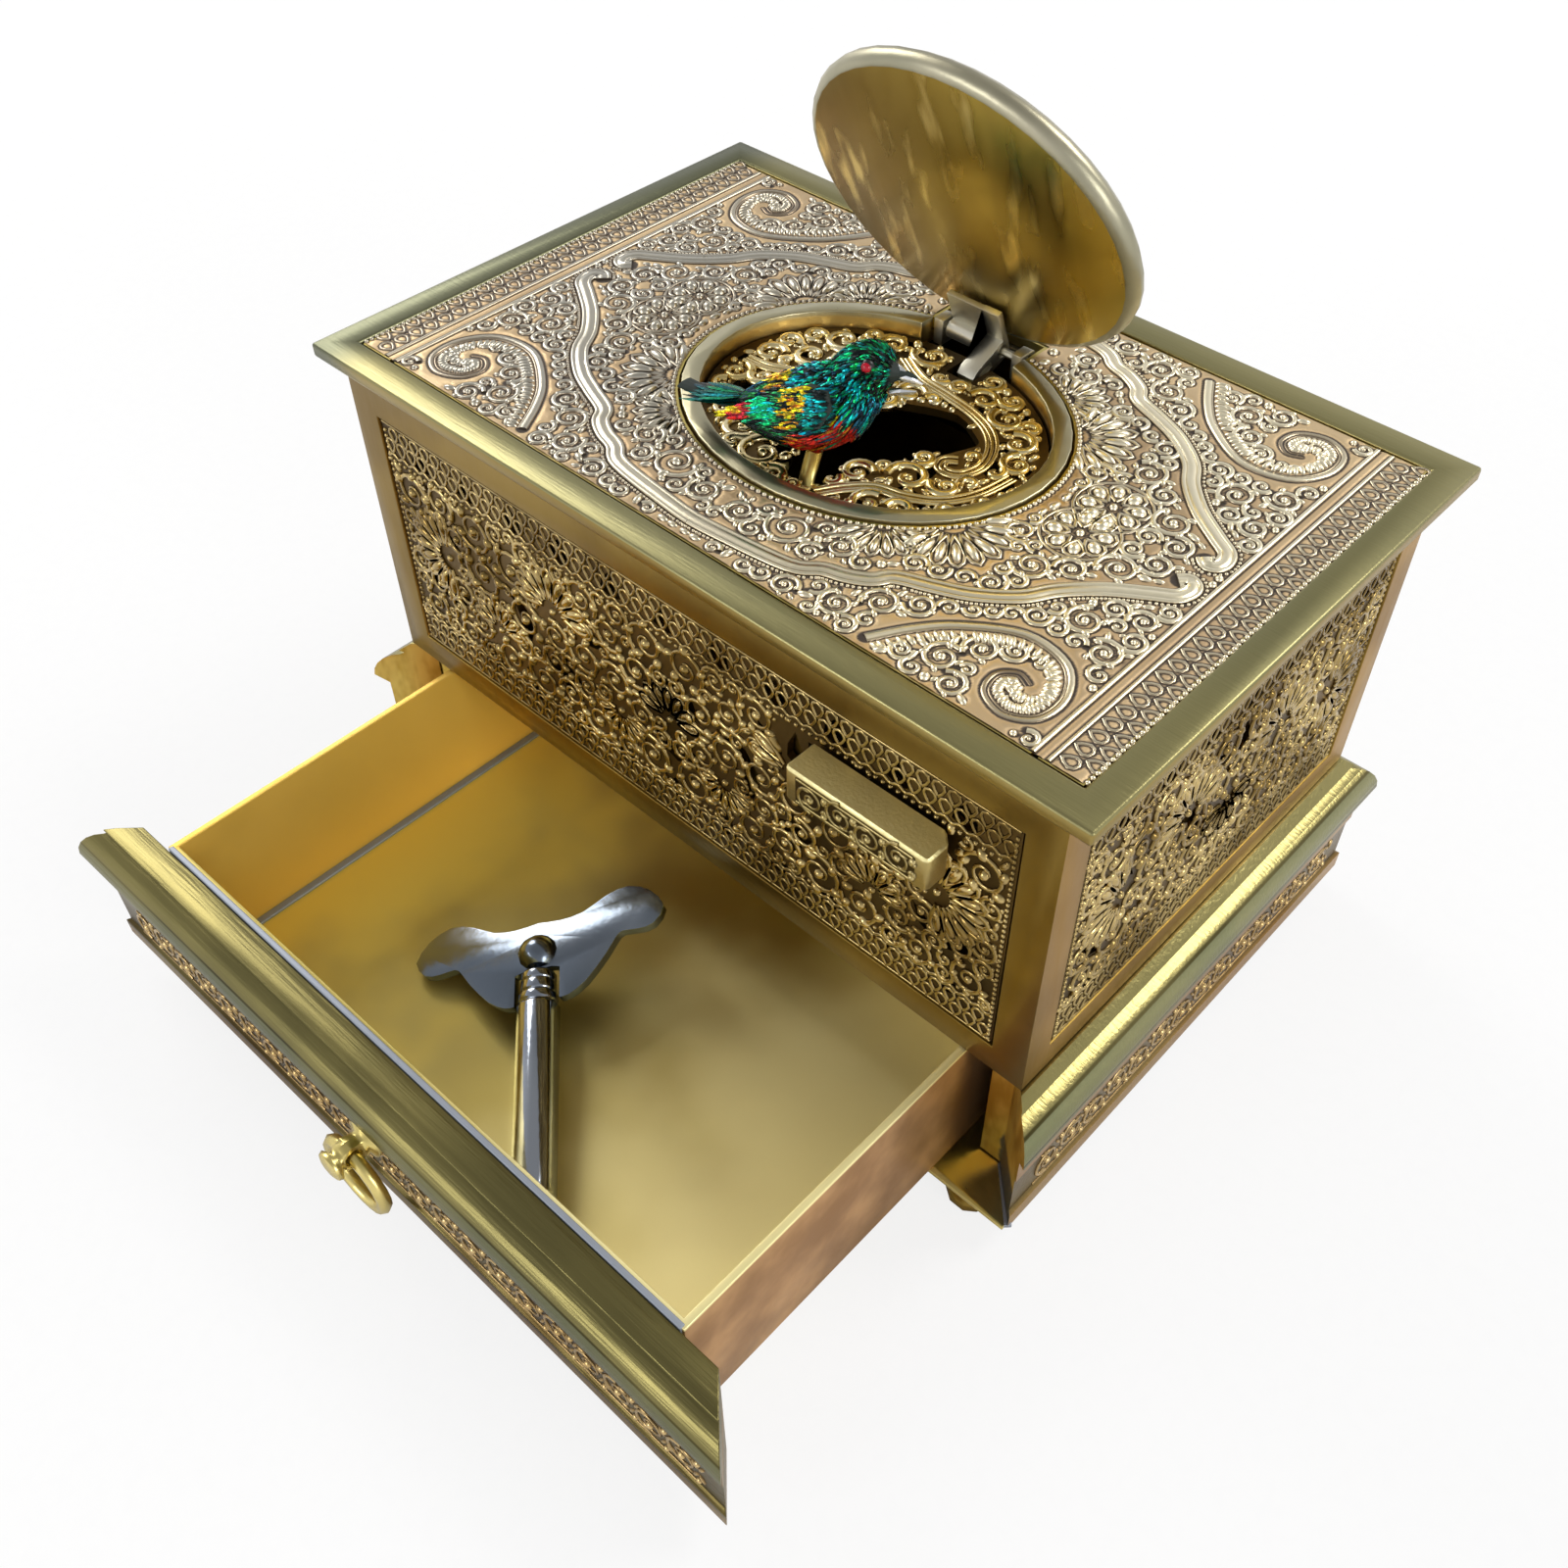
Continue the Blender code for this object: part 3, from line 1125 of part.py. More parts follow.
def build_bird(case):
    """The bird on its folding carriage."""
    rest = bird_turn(bird_heading, bird_lean)
    fold = folded_matrix() @ rest.transposed()
    quaternion = fold.to_quaternion()
    direction = quaternion.axis
    point = carriage_point()
    carriage = axis_empty("bird_fold_axis", point, case)
    along = direction.to_track_quat("Z", "X").to_matrix().to_4x4()
    hub_bore = pin_radius + fit
    hub = moved(tube(carriage_hub, hub_bore, -carriage_half + 1.0, carriage_half - 1.0, 16), along)
    piece = add("bird_carriage", hub, (gilt, 0.25), carriage)
    offset = rest @ belly_offset()
    start = offset.normalized() * (hub_bore + 0.35)
    end = offset + offset.normalized() * (post_reach - fit)
    lift = offset.to_track_quat("Z", "X").to_matrix().to_4x4()
    join(piece, moved(rod(post_radius, start.length, end.length, 12), lift))
    pin = moved(rod(pin_radius, -carriage_half - 1.6, carriage_half + 1.6, 10), Matrix.Translation(point) @ along)
    add("carriage_pin", pin, (steel, 0.3), case)
    build_bracket(case, point, direction, along)
    place = rest.to_4x4()
    body_axis = axis_empty("bird_axis", offset, carriage, place)
    add("bird_body", loft(bird_stations(), 14), ((0.1, 0.35, 0.2), 0.45, 0.0), body_axis)
    beak_axis = axis_empty("beak_axis", (7.7, 0, 9.3), body_axis)
    lower = [(-0.1, -0.3, 0.4, 0.5), (1.1, 0.1, 0.4, 0.45), (2.6, 0.45, 0.12, 0.12)]
    add("bird_beak", loft(lower, 8), ((0.6, 0.6, 0.6), 0.35, 0.0), beak_axis)
    tail_axis = axis_empty("tail_axis", (-9.6, 0, 3.2), body_axis)
    feathers = [(0, 0, 0.45, 0.8), (-tail_length * 0.5, 0.5, 0.45, 1.4), (-tail_length, 1.1, 0.3, 1.6)]
    add("bird_tail", loft(feathers, 10), ((0.04, 0.12, 0.1), 0.5, 0.0), tail_axis)
    for name, side in (("wing_left", 1), ("wing_right", -1)):
        hinge = axis_empty(name + "_axis", (1.0, side * (bird_width + fit - 0.4), 8.9), body_axis)
        outline = [(1.6, 0.2), (2.2, -1.6), (1.2, -3.8), (-1.6, -4.6), (-5.4, -4.8), (-wing_length + 1.6, -5.0),
                   (-6.4, -2.6), (-3.0, -0.8), (-0.6, 0.3)]
        low, high = sorted((-side * 0.4, -side * (0.4 + wing_thickness)))
        flat = upright(sheet([outline], low, high))
        add(name, flat, ((0.75, 0.65, 0.1), 0.5, 0.0), hinge)


def build_bracket(case, point, direction, along):
    """The fork under the grille that carries the carriage pin."""
    flat = Vector((direction.x, direction.y, 0)).normalized()
    heading = math.atan2(flat.y, flat.x)
    foot = upper_plate_z + plate_thickness + fit
    half = carriage_half
    outline = [(-half - 1.2, foot - point.z), (half + 1.2, foot - point.z), (half + 1.2, 1.8), (half, 1.8),
               (half, -3.6), (-half, -3.6), (-half, 1.8), (-half - 1.2, 1.8)]
    place = Matrix.Translation(point) @ Matrix.Rotation(heading, 4, "Z")
    shape = upright(sheet([outline], -1.5, 1.5))
    bracket = add("carriage_bracket", moved(shape, place), (brass, 0.35), case)
    bore = pin_radius + fit
    cut(bracket, moved(rod(bore, -half - 4, half + 4, 12), Matrix.Translation(point) @ along))


def build():
    clear_scene()
    case = axis_empty("case_origin", (0, origin_shift, 0))
    build_case(case)
    build_cap(case)
    build_bezel(case)
    build_grille(case)
    build_lid(case)
    build_base(case)
    build_drawer(case)
    build_start(case)
    build_plates(case)
    build_train(case)
    build_bellows(case)
    build_bird(case)
    bpy.context.view_layer.update()


build()
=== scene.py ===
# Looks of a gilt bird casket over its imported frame; settings and drawings are in millimetres
import json
import math
import random

import bmesh
import bpy
import numpy as np
from mathutils import Matrix, Vector

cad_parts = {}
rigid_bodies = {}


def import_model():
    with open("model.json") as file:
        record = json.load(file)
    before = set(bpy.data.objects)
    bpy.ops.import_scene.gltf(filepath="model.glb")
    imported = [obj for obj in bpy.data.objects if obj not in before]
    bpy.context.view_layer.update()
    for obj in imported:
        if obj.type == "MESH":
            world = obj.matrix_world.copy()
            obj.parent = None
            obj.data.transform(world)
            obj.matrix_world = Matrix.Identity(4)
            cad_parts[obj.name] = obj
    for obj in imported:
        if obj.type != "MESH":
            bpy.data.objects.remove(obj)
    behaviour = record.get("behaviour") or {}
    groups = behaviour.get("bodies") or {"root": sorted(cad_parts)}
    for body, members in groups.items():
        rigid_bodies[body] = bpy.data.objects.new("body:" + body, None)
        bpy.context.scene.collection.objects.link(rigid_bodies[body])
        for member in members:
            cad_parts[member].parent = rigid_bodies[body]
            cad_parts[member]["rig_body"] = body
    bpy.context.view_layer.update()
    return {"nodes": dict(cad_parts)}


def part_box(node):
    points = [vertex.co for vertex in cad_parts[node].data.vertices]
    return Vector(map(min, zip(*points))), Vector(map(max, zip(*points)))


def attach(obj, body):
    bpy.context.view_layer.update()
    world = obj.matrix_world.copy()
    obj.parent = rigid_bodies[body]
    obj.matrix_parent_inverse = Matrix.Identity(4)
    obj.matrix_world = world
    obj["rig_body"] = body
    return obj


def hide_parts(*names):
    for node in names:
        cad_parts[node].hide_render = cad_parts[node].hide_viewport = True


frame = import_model()
nodes = frame["nodes"]
mm = 0.001
up = math.pi / 2
fullTurn = 6.28
dice = random.Random(7)
rimLow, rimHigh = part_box("rim_frame")
caseMiddle = Vector(((rimLow.x + rimHigh.x) / 2, (rimLow.y + rimHigh.y) / 2, rimHigh.z))


# A place given from the middle of the rim's top face
def place(x, y, z):
    return caseMiddle + Vector((x, y, z)) * mm


def bodyOf(node):
    return nodes[node]["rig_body"]


def linked(name, data):
    item = bpy.data.objects.new(name, data)
    bpy.context.scene.collection.objects.link(item)
    return item


print("stage: frame loaded")


# A socket that adds a maths node for each operator used on it
class Wire:
    def __init__(self, graph, socket):
        self.graph = graph
        self.socket = socket

    def maths(self, operation, *values):
        return self.graph.node("ShaderNodeMath", {"operation": operation}, dict(enumerate(values)))

    def __add__(self, other):
        return self.maths("ADD", self, other)

    def __radd__(self, other):
        return self.maths("ADD", other, self)

    def __sub__(self, other):
        return self.maths("SUBTRACT", self, other)

    def __rsub__(self, other):
        return self.maths("SUBTRACT", other, self)

    def __mul__(self, other):
        return self.maths("MULTIPLY", self, other)

    def __rmul__(self, other):
        return self.maths("MULTIPLY", other, self)

    def absolute(self):
        return self.maths("ABSOLUTE", self)

    def between(self, low, high, first=0.0, last=1.0):
        inputs = {0: self, 1: low, 2: high, 3: first, 4: last}
        return self.graph.node("ShaderNodeMapRange", {"interpolation_type": "SMOOTHSTEP"}, inputs)


# The node tree of a material or a world
class Graph:
    def __init__(self, holder, shader="Principled BSDF"):
        holder.use_nodes = True
        self.holder = holder
        self.tree = holder.node_tree
        self.shader = self.tree.nodes[shader]

    def node(self, kind, settings, inputs, output=0):
        made = self.tree.nodes.new(kind)
        for key, value in settings.items():
            setattr(made, key, value)
        self.fill(made, inputs)
        return Wire(self, made.outputs[output])

    def fill(self, made, inputs):
        for key, value in inputs.items():
            if isinstance(value, Wire):
                self.tree.links.new(value.socket, made.inputs[key])
            else:
                made.inputs[key].default_value = value

    def surface(self, colour, rough, metallic=1.0, normal=None):
        inputs = {"Base Color": colour, "Roughness": rough, "Metallic": metallic}
        if normal:
            inputs["Normal"] = normal
        self.fill(self.shader, inputs)
        return self.holder

    def place(self):
        return self.node("ShaderNodeTexCoord", {}, {}, "Object")

    def axis(self, name):
        return self.node("ShaderNodeSeparateXYZ", {}, {0: self.place()}, name)

    def stretched(self, scale):
        return self.node("ShaderNodeMapping", {}, {"Vector": self.place(), "Scale": scale})

    def noise(self, scale, detail=3.0, vector=None):
        inputs = {"Vector": vector or self.place(), "Scale": scale, "Detail": detail}
        return self.node("ShaderNodeTexNoise", {}, inputs)

    # A mix of two colours, each a socket or a triple
    def blend(self, factor, first, second):
        first, second = (c if isinstance(c, Wire) else (*c, 1.0) for c in (first, second))
        inputs = {"Factor": factor, 6: first, 7: second}
        return self.node("ShaderNodeMix", {"data_type": "RGBA"}, inputs, 2)

    def bump(self, height, strength, distance):
        return self.node("ShaderNodeBump", {}, {"Height": height, "Strength": strength, "Distance": distance})


def graphNamed(name):
    return Graph(bpy.data.materials.new(name))


# A metal: two tones in patches, or a ramp of tones along an axis, with an optional painted shade tone that
# darkens it along an axis, down towards its recesses
metalDefaults = {"patch": 60.0, "share": 0.25, "grain": 0.1, "grainScale": 900.0, "stretch": (1, 1, 1)}


def metal(name, settings):
    look = {**metalDefaults, **settings}
    graph = graphNamed(name)
    patches = graph.noise(look["patch"], 2.0)
    if "ramp" in look:
        axis, colour, steps = look["ramp"]
        level = graph.axis(axis)
        for low, high, shade in steps:
            colour = graph.blend(level.between(low, high), colour, shade)
        colour = graph.blend(patches.between(0.3, 0.7, 0.0, look["share"]), colour, look["second"])
    else:
        colour = graph.blend(patches.between(0.35, 0.65), look["first"], look["second"])
    # Painted shade: the colour sinks to the shade tone along the given axis
    if "height" in look:
        axis, low, high = look["height"]
        colour = graph.blend(graph.axis(axis).between(low, high), look["paintedShade"], colour)
    grain = graph.noise(look["grainScale"], 2.0, graph.stretched(look["stretch"]))
    rough = look["rough"] + (grain - 0.5) * 0.1
    normal = graph.bump(grain, look["grain"], 0.0002)
    return graph.surface(colour, rough, normal=normal)


def plainGraph(name, colour, rough, metallic=0.0):
    graph = graphNamed(name)
    shade = graph.noise(500.0).between(0.3, 0.7, 0.85, 1.1)
    mottled = graph.blend(shade, [c * 0.75 for c in colour], colour)
    graph.surface(mottled, rough, metallic)
    return graph


def plain(name, colour, rough, metallic=0.0):
    return plainGraph(name, colour, rough, metallic).holder


print("stage: material tools")


def selectOnly(*items):
    bpy.ops.object.select_all(action="DESELECT")
    for item in items:
        item.select_set(True)
    bpy.context.view_layer.objects.active = items[0]


# A primitive, named, moved where it belongs and given its finish
def solid(name, add, sizes, where, look):
    bpy.ops.object.select_all(action="DESELECT")
    add(**sizes)
    item = bpy.context.object
    item.name = name
    item.data.transform(where)
    item.data.materials.append(look)
    return item


# A copy of a rigid node with clean faces and softened edges, which stands for it
def dressed(node, look, bevel, angle, shape=None):
    piece = linked(node + "Dressed", nodes[node].data.copy())
    mesh = bmesh.new()
    mesh.from_mesh(piece.data)
    bmesh.ops.remove_doubles(mesh, verts=mesh.verts, dist=2e-6)
    if shape:
        shape(mesh)
    bmesh.ops.dissolve_limit(mesh, angle_limit=math.radians(1.0), verts=mesh.verts, edges=mesh.edges)
    mesh.to_mesh(piece.data)
    mesh.free()
    piece.data.materials.clear()
    piece.data.materials.append(look)
    selectOnly(piece)
    if bevel:
        modifier = piece.modifiers.new("Edge", "BEVEL")
        modifier.width = bevel * mm
        modifier.segments = 2
        modifier.limit_method = "ANGLE"
        modifier.angle_limit = math.radians(30)
        bpy.ops.object.modifier_apply(modifier="Edge")
    bpy.ops.object.shade_smooth_by_angle(angle=math.radians(angle))
    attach(piece, bodyOf(node))
    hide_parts(node)
    return piece


def painted(node, look):
    nodes[node].data.materials.clear()
    nodes[node].data.materials.append(look)


# A second finish on the faces that a test picks
def faced(piece, look, chosen):
    piece.data.materials.append(look)
    for face in piece.data.polygons:
        face.material_index = int(chosen(face))


# Ramps of tones up the mouldings, each step from one height to the next
def risingTones(base, first, steps):
    return "Z", first, [(base + low * mm, base + high * mm, shade) for low, high, shade in steps]


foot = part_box("base_moulding")[0].z
gripLow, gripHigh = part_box("start_grip")
# Tones up the base moulding copy how each facet is lit: painted light and shade, with fine dark lines for its
# grooves
mouldTones = [(2.4, 3.0, (0.10, 0.06, 0.02)), (9.4, 9.9, (0.42, 0.22, 0.07)),
              (13.2, 15.4, (0.22, 0.23, 0.12)), (16.0, 16.2, (0.06, 0.05, 0.02)),
              (16.35, 16.5, (0.24, 0.25, 0.13)), (18.6, 18.75, (0.07, 0.06, 0.02)),
              (18.85, 19.0, (0.30, 0.26, 0.10))]
mouldRamp = risingTones(foot, (0.40, 0.22, 0.07), mouldTones)
# The drawer front takes the base's tones darkened, as painted shade
drawerPaintedShade = 0.55     # the drawer front's tones against the base's
drawerRamp = ("Z", tuple(c * drawerPaintedShade for c in mouldRamp[1]),
              [(low, high, tuple(c * drawerPaintedShade for c in shade)) for low, high, shade in mouldRamp[2]])
bezelRamp = risingTones(caseMiddle.z, (0.62, 0.42, 0.12), [(-0.9, -0.3, (0.50, 0.46, 0.30))])
gripRamp = risingTones(gripHigh.z, (0.34, 0.24, 0.08), [(-0.5, -0.2, (0.92, 0.82, 0.42))])
rimRamp = risingTones(caseMiddle.z, (0.26, 0.17, 0.045),
                      [(-3.2, -3.1, (0.10, 0.07, 0.02)), (-2.95, -2.85, (0.32, 0.22, 0.06)),
                       (-1.9, -1.8, (0.12, 0.09, 0.03)), (-1.65, -1.55, (0.30, 0.21, 0.06)),
                       (-0.35, -0.2, (0.27, 0.25, 0.12))])
looks = {
    # The rim: fine dark lines for its grooves, and painted shade that turns its left end a darker olive
    "rim": metal("rim brass", {"second": (0.44, 0.37, 0.14), "rough": 0.36, "ramp": rimRamp,
                               "stretch": (0.3, 4, 1), "grain": 0.12, "patch": 18.0, "share": 0.35,
                               "height": ("X", -53 * mm, -45 * mm),
                               "paintedShade": (0.15, 0.155, 0.09)}),
    "frame": metal("frame brass", {"first": (0.20, 0.125, 0.026), "second": (0.29, 0.19, 0.042),
                                   "rough": 0.33, "stretch": (1, 1, 0.3)}),
    # A lighter, oranger copy of the frame's brass for its sideways faces: painted light by which way a face
    # turns
    "frameSideLit": metal("frame side", {"first": (0.30, 0.17, 0.04), "second": (0.42, 0.25, 0.07), "rough": 0.4,
                                      "stretch": (1, 1, 0.3)}),
    # Near-black plates behind the filigree and the grille: painted shade in the hollows behind the wires
    "panelShade": metal("panel recess", {"first": (0.05, 0.03, 0.009), "second": (0.15, 0.095, 0.03),
                                          "rough": 0.45}),
    "base": metal("base brass", {"second": (0.44, 0.37, 0.15), "rough": 0.3, "ramp": mouldRamp,
                                 "stretch": (0.12, 2.4, 3.0), "grain": 0.3}),
    # The drawer front's brass in painted shade
    "drawer": metal("drawer brass", {"second": (0.33, 0.28, 0.10), "rough": 0.34, "ramp": drawerRamp,
                                     "stretch": (0.12, 2.4, 3.0), "grain": 0.3, "share": 0.35}),
    # The key bow's nickel is darker than the barrel's: painted reflection of the dark front panel
    "bow": metal("bow nickel", {"first": (0.16, 0.19, 0.23), "second": (0.26, 0.29, 0.33), "rough": 0.2}),
    "plate": metal("plate brass", {"first": (0.60, 0.48, 0.13), "second": (0.78, 0.64, 0.24), "rough": 0.3}),
    "bezel": metal("bezel brass", {"second": (0.58, 0.52, 0.33), "rough": 0.3, "ramp": bezelRamp}),
    # A near-black inset under the grip's filigree: painted shade behind the openwork
    "insetShade": metal("inset dark", {"first": (0.05, 0.03, 0.01), "second": (0.10, 0.07, 0.02),
                                       "rough": 0.5}),
    "steel": metal("steel", {"first": (0.66, 0.63, 0.52), "second": (0.82, 0.79, 0.68), "rough": 0.4}),
    "nickel": metal("nickel", {"first": (0.30, 0.33, 0.38), "second": (0.42, 0.45, 0.50), "rough": 0.13}),
    "movement": metal("movement brass", {"first": (0.42, 0.30, 0.12), "second": (0.50, 0.36, 0.15),
                                         "rough": 0.4}),
    "grip": metal("grip brass", {"second": (0.94, 0.83, 0.36), "rough": 0.46, "grain": 0.3,
                                 "grainScale": 2500.0, "ramp": gripRamp}),
    "edge": metal("lid edge", {"first": (0.36, 0.34, 0.24), "second": (0.50, 0.46, 0.33), "rough": 0.38}),
    "beak": metal("beak silver", {"first": (0.74, 0.76, 0.78), "second": (0.86, 0.87, 0.88), "rough": 0.25}),
    "solder": plain("solder", (0.30, 0.33, 0.38), 0.45, 0.3),
}

# Polished underside of the lid, with swirls and bright streaks, and painted light that makes it darker to the
# left and lighter to the right
lidTones = {"dark": (0.26, 0.17, 0.04), "light": (0.66, 0.48, 0.10), "swirl": (0.36, 0.25, 0.06),
            "streak": (1.0, 0.80, 0.30)}


def lidLook():
    graph = graphNamed("lid brass")
    swirls = graph.noise(34.0, 3.0, graph.stretched((2.6, 1.0, 0.55)))
    streaks = graph.noise(190.0, 2.0, graph.stretched((1.9, 1.0, 0.28)))
    # Painted light: the tone sweeps from dark at the left to light at the right
    sweep = graph.axis("X") + (swirls - 0.5) * 0.03
    colour = graph.blend(sweep.between(-0.020, 0.016), lidTones["dark"], lidTones["light"])
    colour = graph.blend(swirls.between(0.42, 0.62, 0.0, 0.6), colour, lidTones["swirl"])
    colour = graph.blend(streaks.between(0.55, 0.72, 0.0, 0.75), colour, lidTones["streak"])
    rough = streaks.between(0.3, 0.7, 0.36, 0.24)
    normal = graph.bump(streaks, 0.06, 0.0004)
    return graph.surface(colour, rough, normal=normal)


# Drawer tray: satin brass inside, copper brown outside; inside, painted light makes the floor lighter and
# less metallic to the left and right, darker in the middle, and the left wall bright
trayTones = {"left": (1.0, 0.75, 0.13), "middle": (0.58, 0.47, 0.15), "right": (0.98, 0.86, 0.42),
             "wall": (0.86, 0.55, 0.10), "outerDark": (0.34, 0.18, 0.07), "outerLight": (0.62, 0.36, 0.16)}
trayLow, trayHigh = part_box("drawer_tray")


def trayLook():
    graph = graphNamed("tray brass")
    x = graph.axis("X")
    sweep = x + (graph.noise(34.0, 3.0) - 0.5) * 0.085
    # Painted light: floor tones by position across the tray, and a bright left wall
    colour = graph.blend(sweep.between(-0.043, -0.016), trayTones["left"], trayTones["middle"])
    colour = graph.blend(sweep.between(-0.006, 0.036), colour, trayTones["right"])
    colour = graph.blend(x.between(-0.0428, -0.0434), colour, trayTones["wall"])
    stains = graph.noise(90.0, 4.0).between(0.35, 0.7)
    outer = graph.blend(stains, trayTones["outerDark"], trayTones["outerLight"])
    outside = x.absolute().between(trayHigh.x - 0.5 * mm, trayHigh.x - 0.1 * mm)
    belowRim = graph.axis("Z").between(trayHigh.z - 0.5 * mm, trayHigh.z - 0.2 * mm, 1.0, 0.0)
    colour = graph.blend(outside * belowRim, colour, outer)
    grain = graph.noise(1400.0, 2.0)
    rough = graph.noise(60.0).between(0.3, 0.7, 0.36, 0.48) + (grain - 0.5) * 0.06
    normal = graph.bump(grain, 0.04, 0.0001)
    metallic = sweep.between(-0.036, -0.008, 0.5, 1.0) * sweep.between(0.0, 0.036, 1.0, 0.65)
    return graph.surface(colour, rough, metallic, normal)


# Cut ends of the base beside the drawer, with a run of solder low at their outer edge
jambTones = {"dark": (0.62, 0.42, 0.07), "light": (0.95, 0.76, 0.22), "solder": (0.13, 0.15, 0.19)}


def jambLook():
    graph = graphNamed("jamb brass")
    glints = graph.noise(260.0, 3.0, graph.stretched((1, 1, 0.4)))
    colour = graph.blend(glints.between(0.4, 0.62), jambTones["dark"], jambTones["light"])
    reach = (graph.axis("X") + (graph.noise(300.0, 2.0) - 0.5) * 0.002).absolute()
    low = graph.axis("Z").between(foot + 6.0 * mm, foot + 8.0 * mm, 1.0, 0.0)
    colour = graph.blend(reach.between(0.0488, 0.0494) * low, colour, jambTones["solder"])
    return graph.surface(colour, 0.38)


looks["lid"] = lidLook()
looks["tray"] = trayLook()

# Finishes of the nodes that keep their shape
plainNodes = {
    # The panels and the grille take the painted shade of the hollows
    "panelShade": ("front_panel", "back_panel", "left_panel", "right_panel", "grille"),
    "steel": ("winding_arbor", "ratchet_wheel", "click", "song_lever", "beak_lever", "cam_stack",
              "start_slide", "whistle_piston", "carriage_pin", "lid_hinge_pin"),
    "plate": ("carriage_bracket", "upper_plate"),
    "beak": ("bird_beak",)}
for node in nodes:
    painted(node, looks["movement"])
for look, group in plainNodes.items():
    for node in group:
        painted(node, looks[look])
painted("bellows_leather", plain("leather", (0.62, 0.5, 0.36), 0.7))
birdDark = plain("bird ground", (0.01, 0.02, 0.015), 0.6)
for node in ("bird_body", "bird_tail", "wing_left", "wing_right"):
    painted(node, birdDark)

# Nodes that are dressed: finish, edge width, smoothing angle
dressedNodes = {
    "rim_frame": ("rim", 0.0, 35), "case_frame": ("frame", 0.12, 35), "base_moulding": ("base", 0.12, 28),
    "drawer_front": ("drawer", 0.12, 28), "drawer_tray": ("tray", 0.1, 35), "bezel_ring": ("bezel", 0.15, 40),
    "base_plate": ("plate", 0.1, 35), "lid_plate": ("lid", 0.0, 50), "lid_arm": ("steel", 0.1, 35),
    "hinge_bracket": ("steel", 0.1, 35), "pull_post": ("plate", 0.0, 40), "pull_ring": ("plate", 0.0, 180),
    "key_barrel": ("nickel", 0.1, 40), "key_bow": ("bow", 0.15, 40), "start_grip": ("grip", 0.0, 35),
    "bird_carriage": ("plate", 0.0, 40), "foot_front_left": ("frame", 0.0, 60),
    "foot_front_right": ("frame", 0.0, 60), "foot_back_left": ("frame", 0.0, 60),
    "foot_back_right": ("frame", 0.0, 60)}
pieces = {node: dressed(node, looks[look], bevel, angle)
          for node, (look, bevel, angle) in dressedNodes.items()}
lidPiece = pieces["lid_plate"]
underside = max(lidPiece.data.polygons, key=lambda face: face.area * (face.normal.y < 0)).normal.copy()
# The frame's sideways faces take the painted light copy of its brass
faced(pieces["case_frame"], looks["frameSideLit"], lambda face: abs(face.normal.x) > 0.8)
faced(pieces["base_moulding"], jambLook(), lambda face: face.normal.y < -0.6 and abs(face.normal.z) < 0.1
      and face.center.y < caseMiddle.y - 25 * mm)
faced(lidPiece, looks["edge"], lambda face: face.normal.dot(underside) <= 0.97)


reliefDrop = 0.35     # the top panel lies this much lower than the rim, under its relief


def lowerTop(mesh):
    for vertex in mesh.verts:
        vertex.co.z = min(vertex.co.z, caseMiddle.z - reliefDrop * mm)


dressed("top_panel", looks["plate"], 0.0, 30, lowerTop)
print("stage: plain pieces")


def polar(x, y, reach, heading):
    return x + reach * math.cos(heading), y + reach * math.sin(heading)


# Even steps along a path, each with its heading
def walked(path, pitch):
    for (ax, ay), (bx, by) in zip(path, path[1:]):
        heading = math.atan2(by - ay, bx - ax)
        count = max(1, round(math.hypot(bx - ax, by - ay) / pitch))
        for k in range(count):
            yield ax + (bx - ax) * k / count, ay + (by - ay) * k / count, heading


# A line beside another
def shifted(line, offset):
    made = []
    for k, (x, y) in enumerate(line):
        a, b = line[max(k - 1, 0)], line[min(k + 1, len(line) - 1)]
        heading = math.atan2(b[1] - a[1], b[0] - a[0])
        made.append((x + offset * math.sin(heading), y - offset * math.cos(heading)))
    return made


# A smooth curve through points
def smooth(points, between=6):
    line = [points[0]] + list(points) + [points[-1]]
    made = []
    for a, b, c, d in zip(line, line[1:], line[2:], line[3:]):
        for k in range(between):
            t = k / between
            made.append(tuple(q + (r - p) * t / 2 + (2 * p - 5 * q + 4 * r - s) * t * t / 2
                              + (3 * q - p - 3 * r + s) * t ** 3 / 2 for p, q, r, s in zip(a, b, c, d)))
    return made + [tuple(points[-1])]


petalShape = [(0, 0), (0.3, 0.32), (0.62, 0.5), (0.88, 0.36), (1.0, 0),
              (0.88, -0.36), (0.62, -0.5), (0.3, -0.32)]


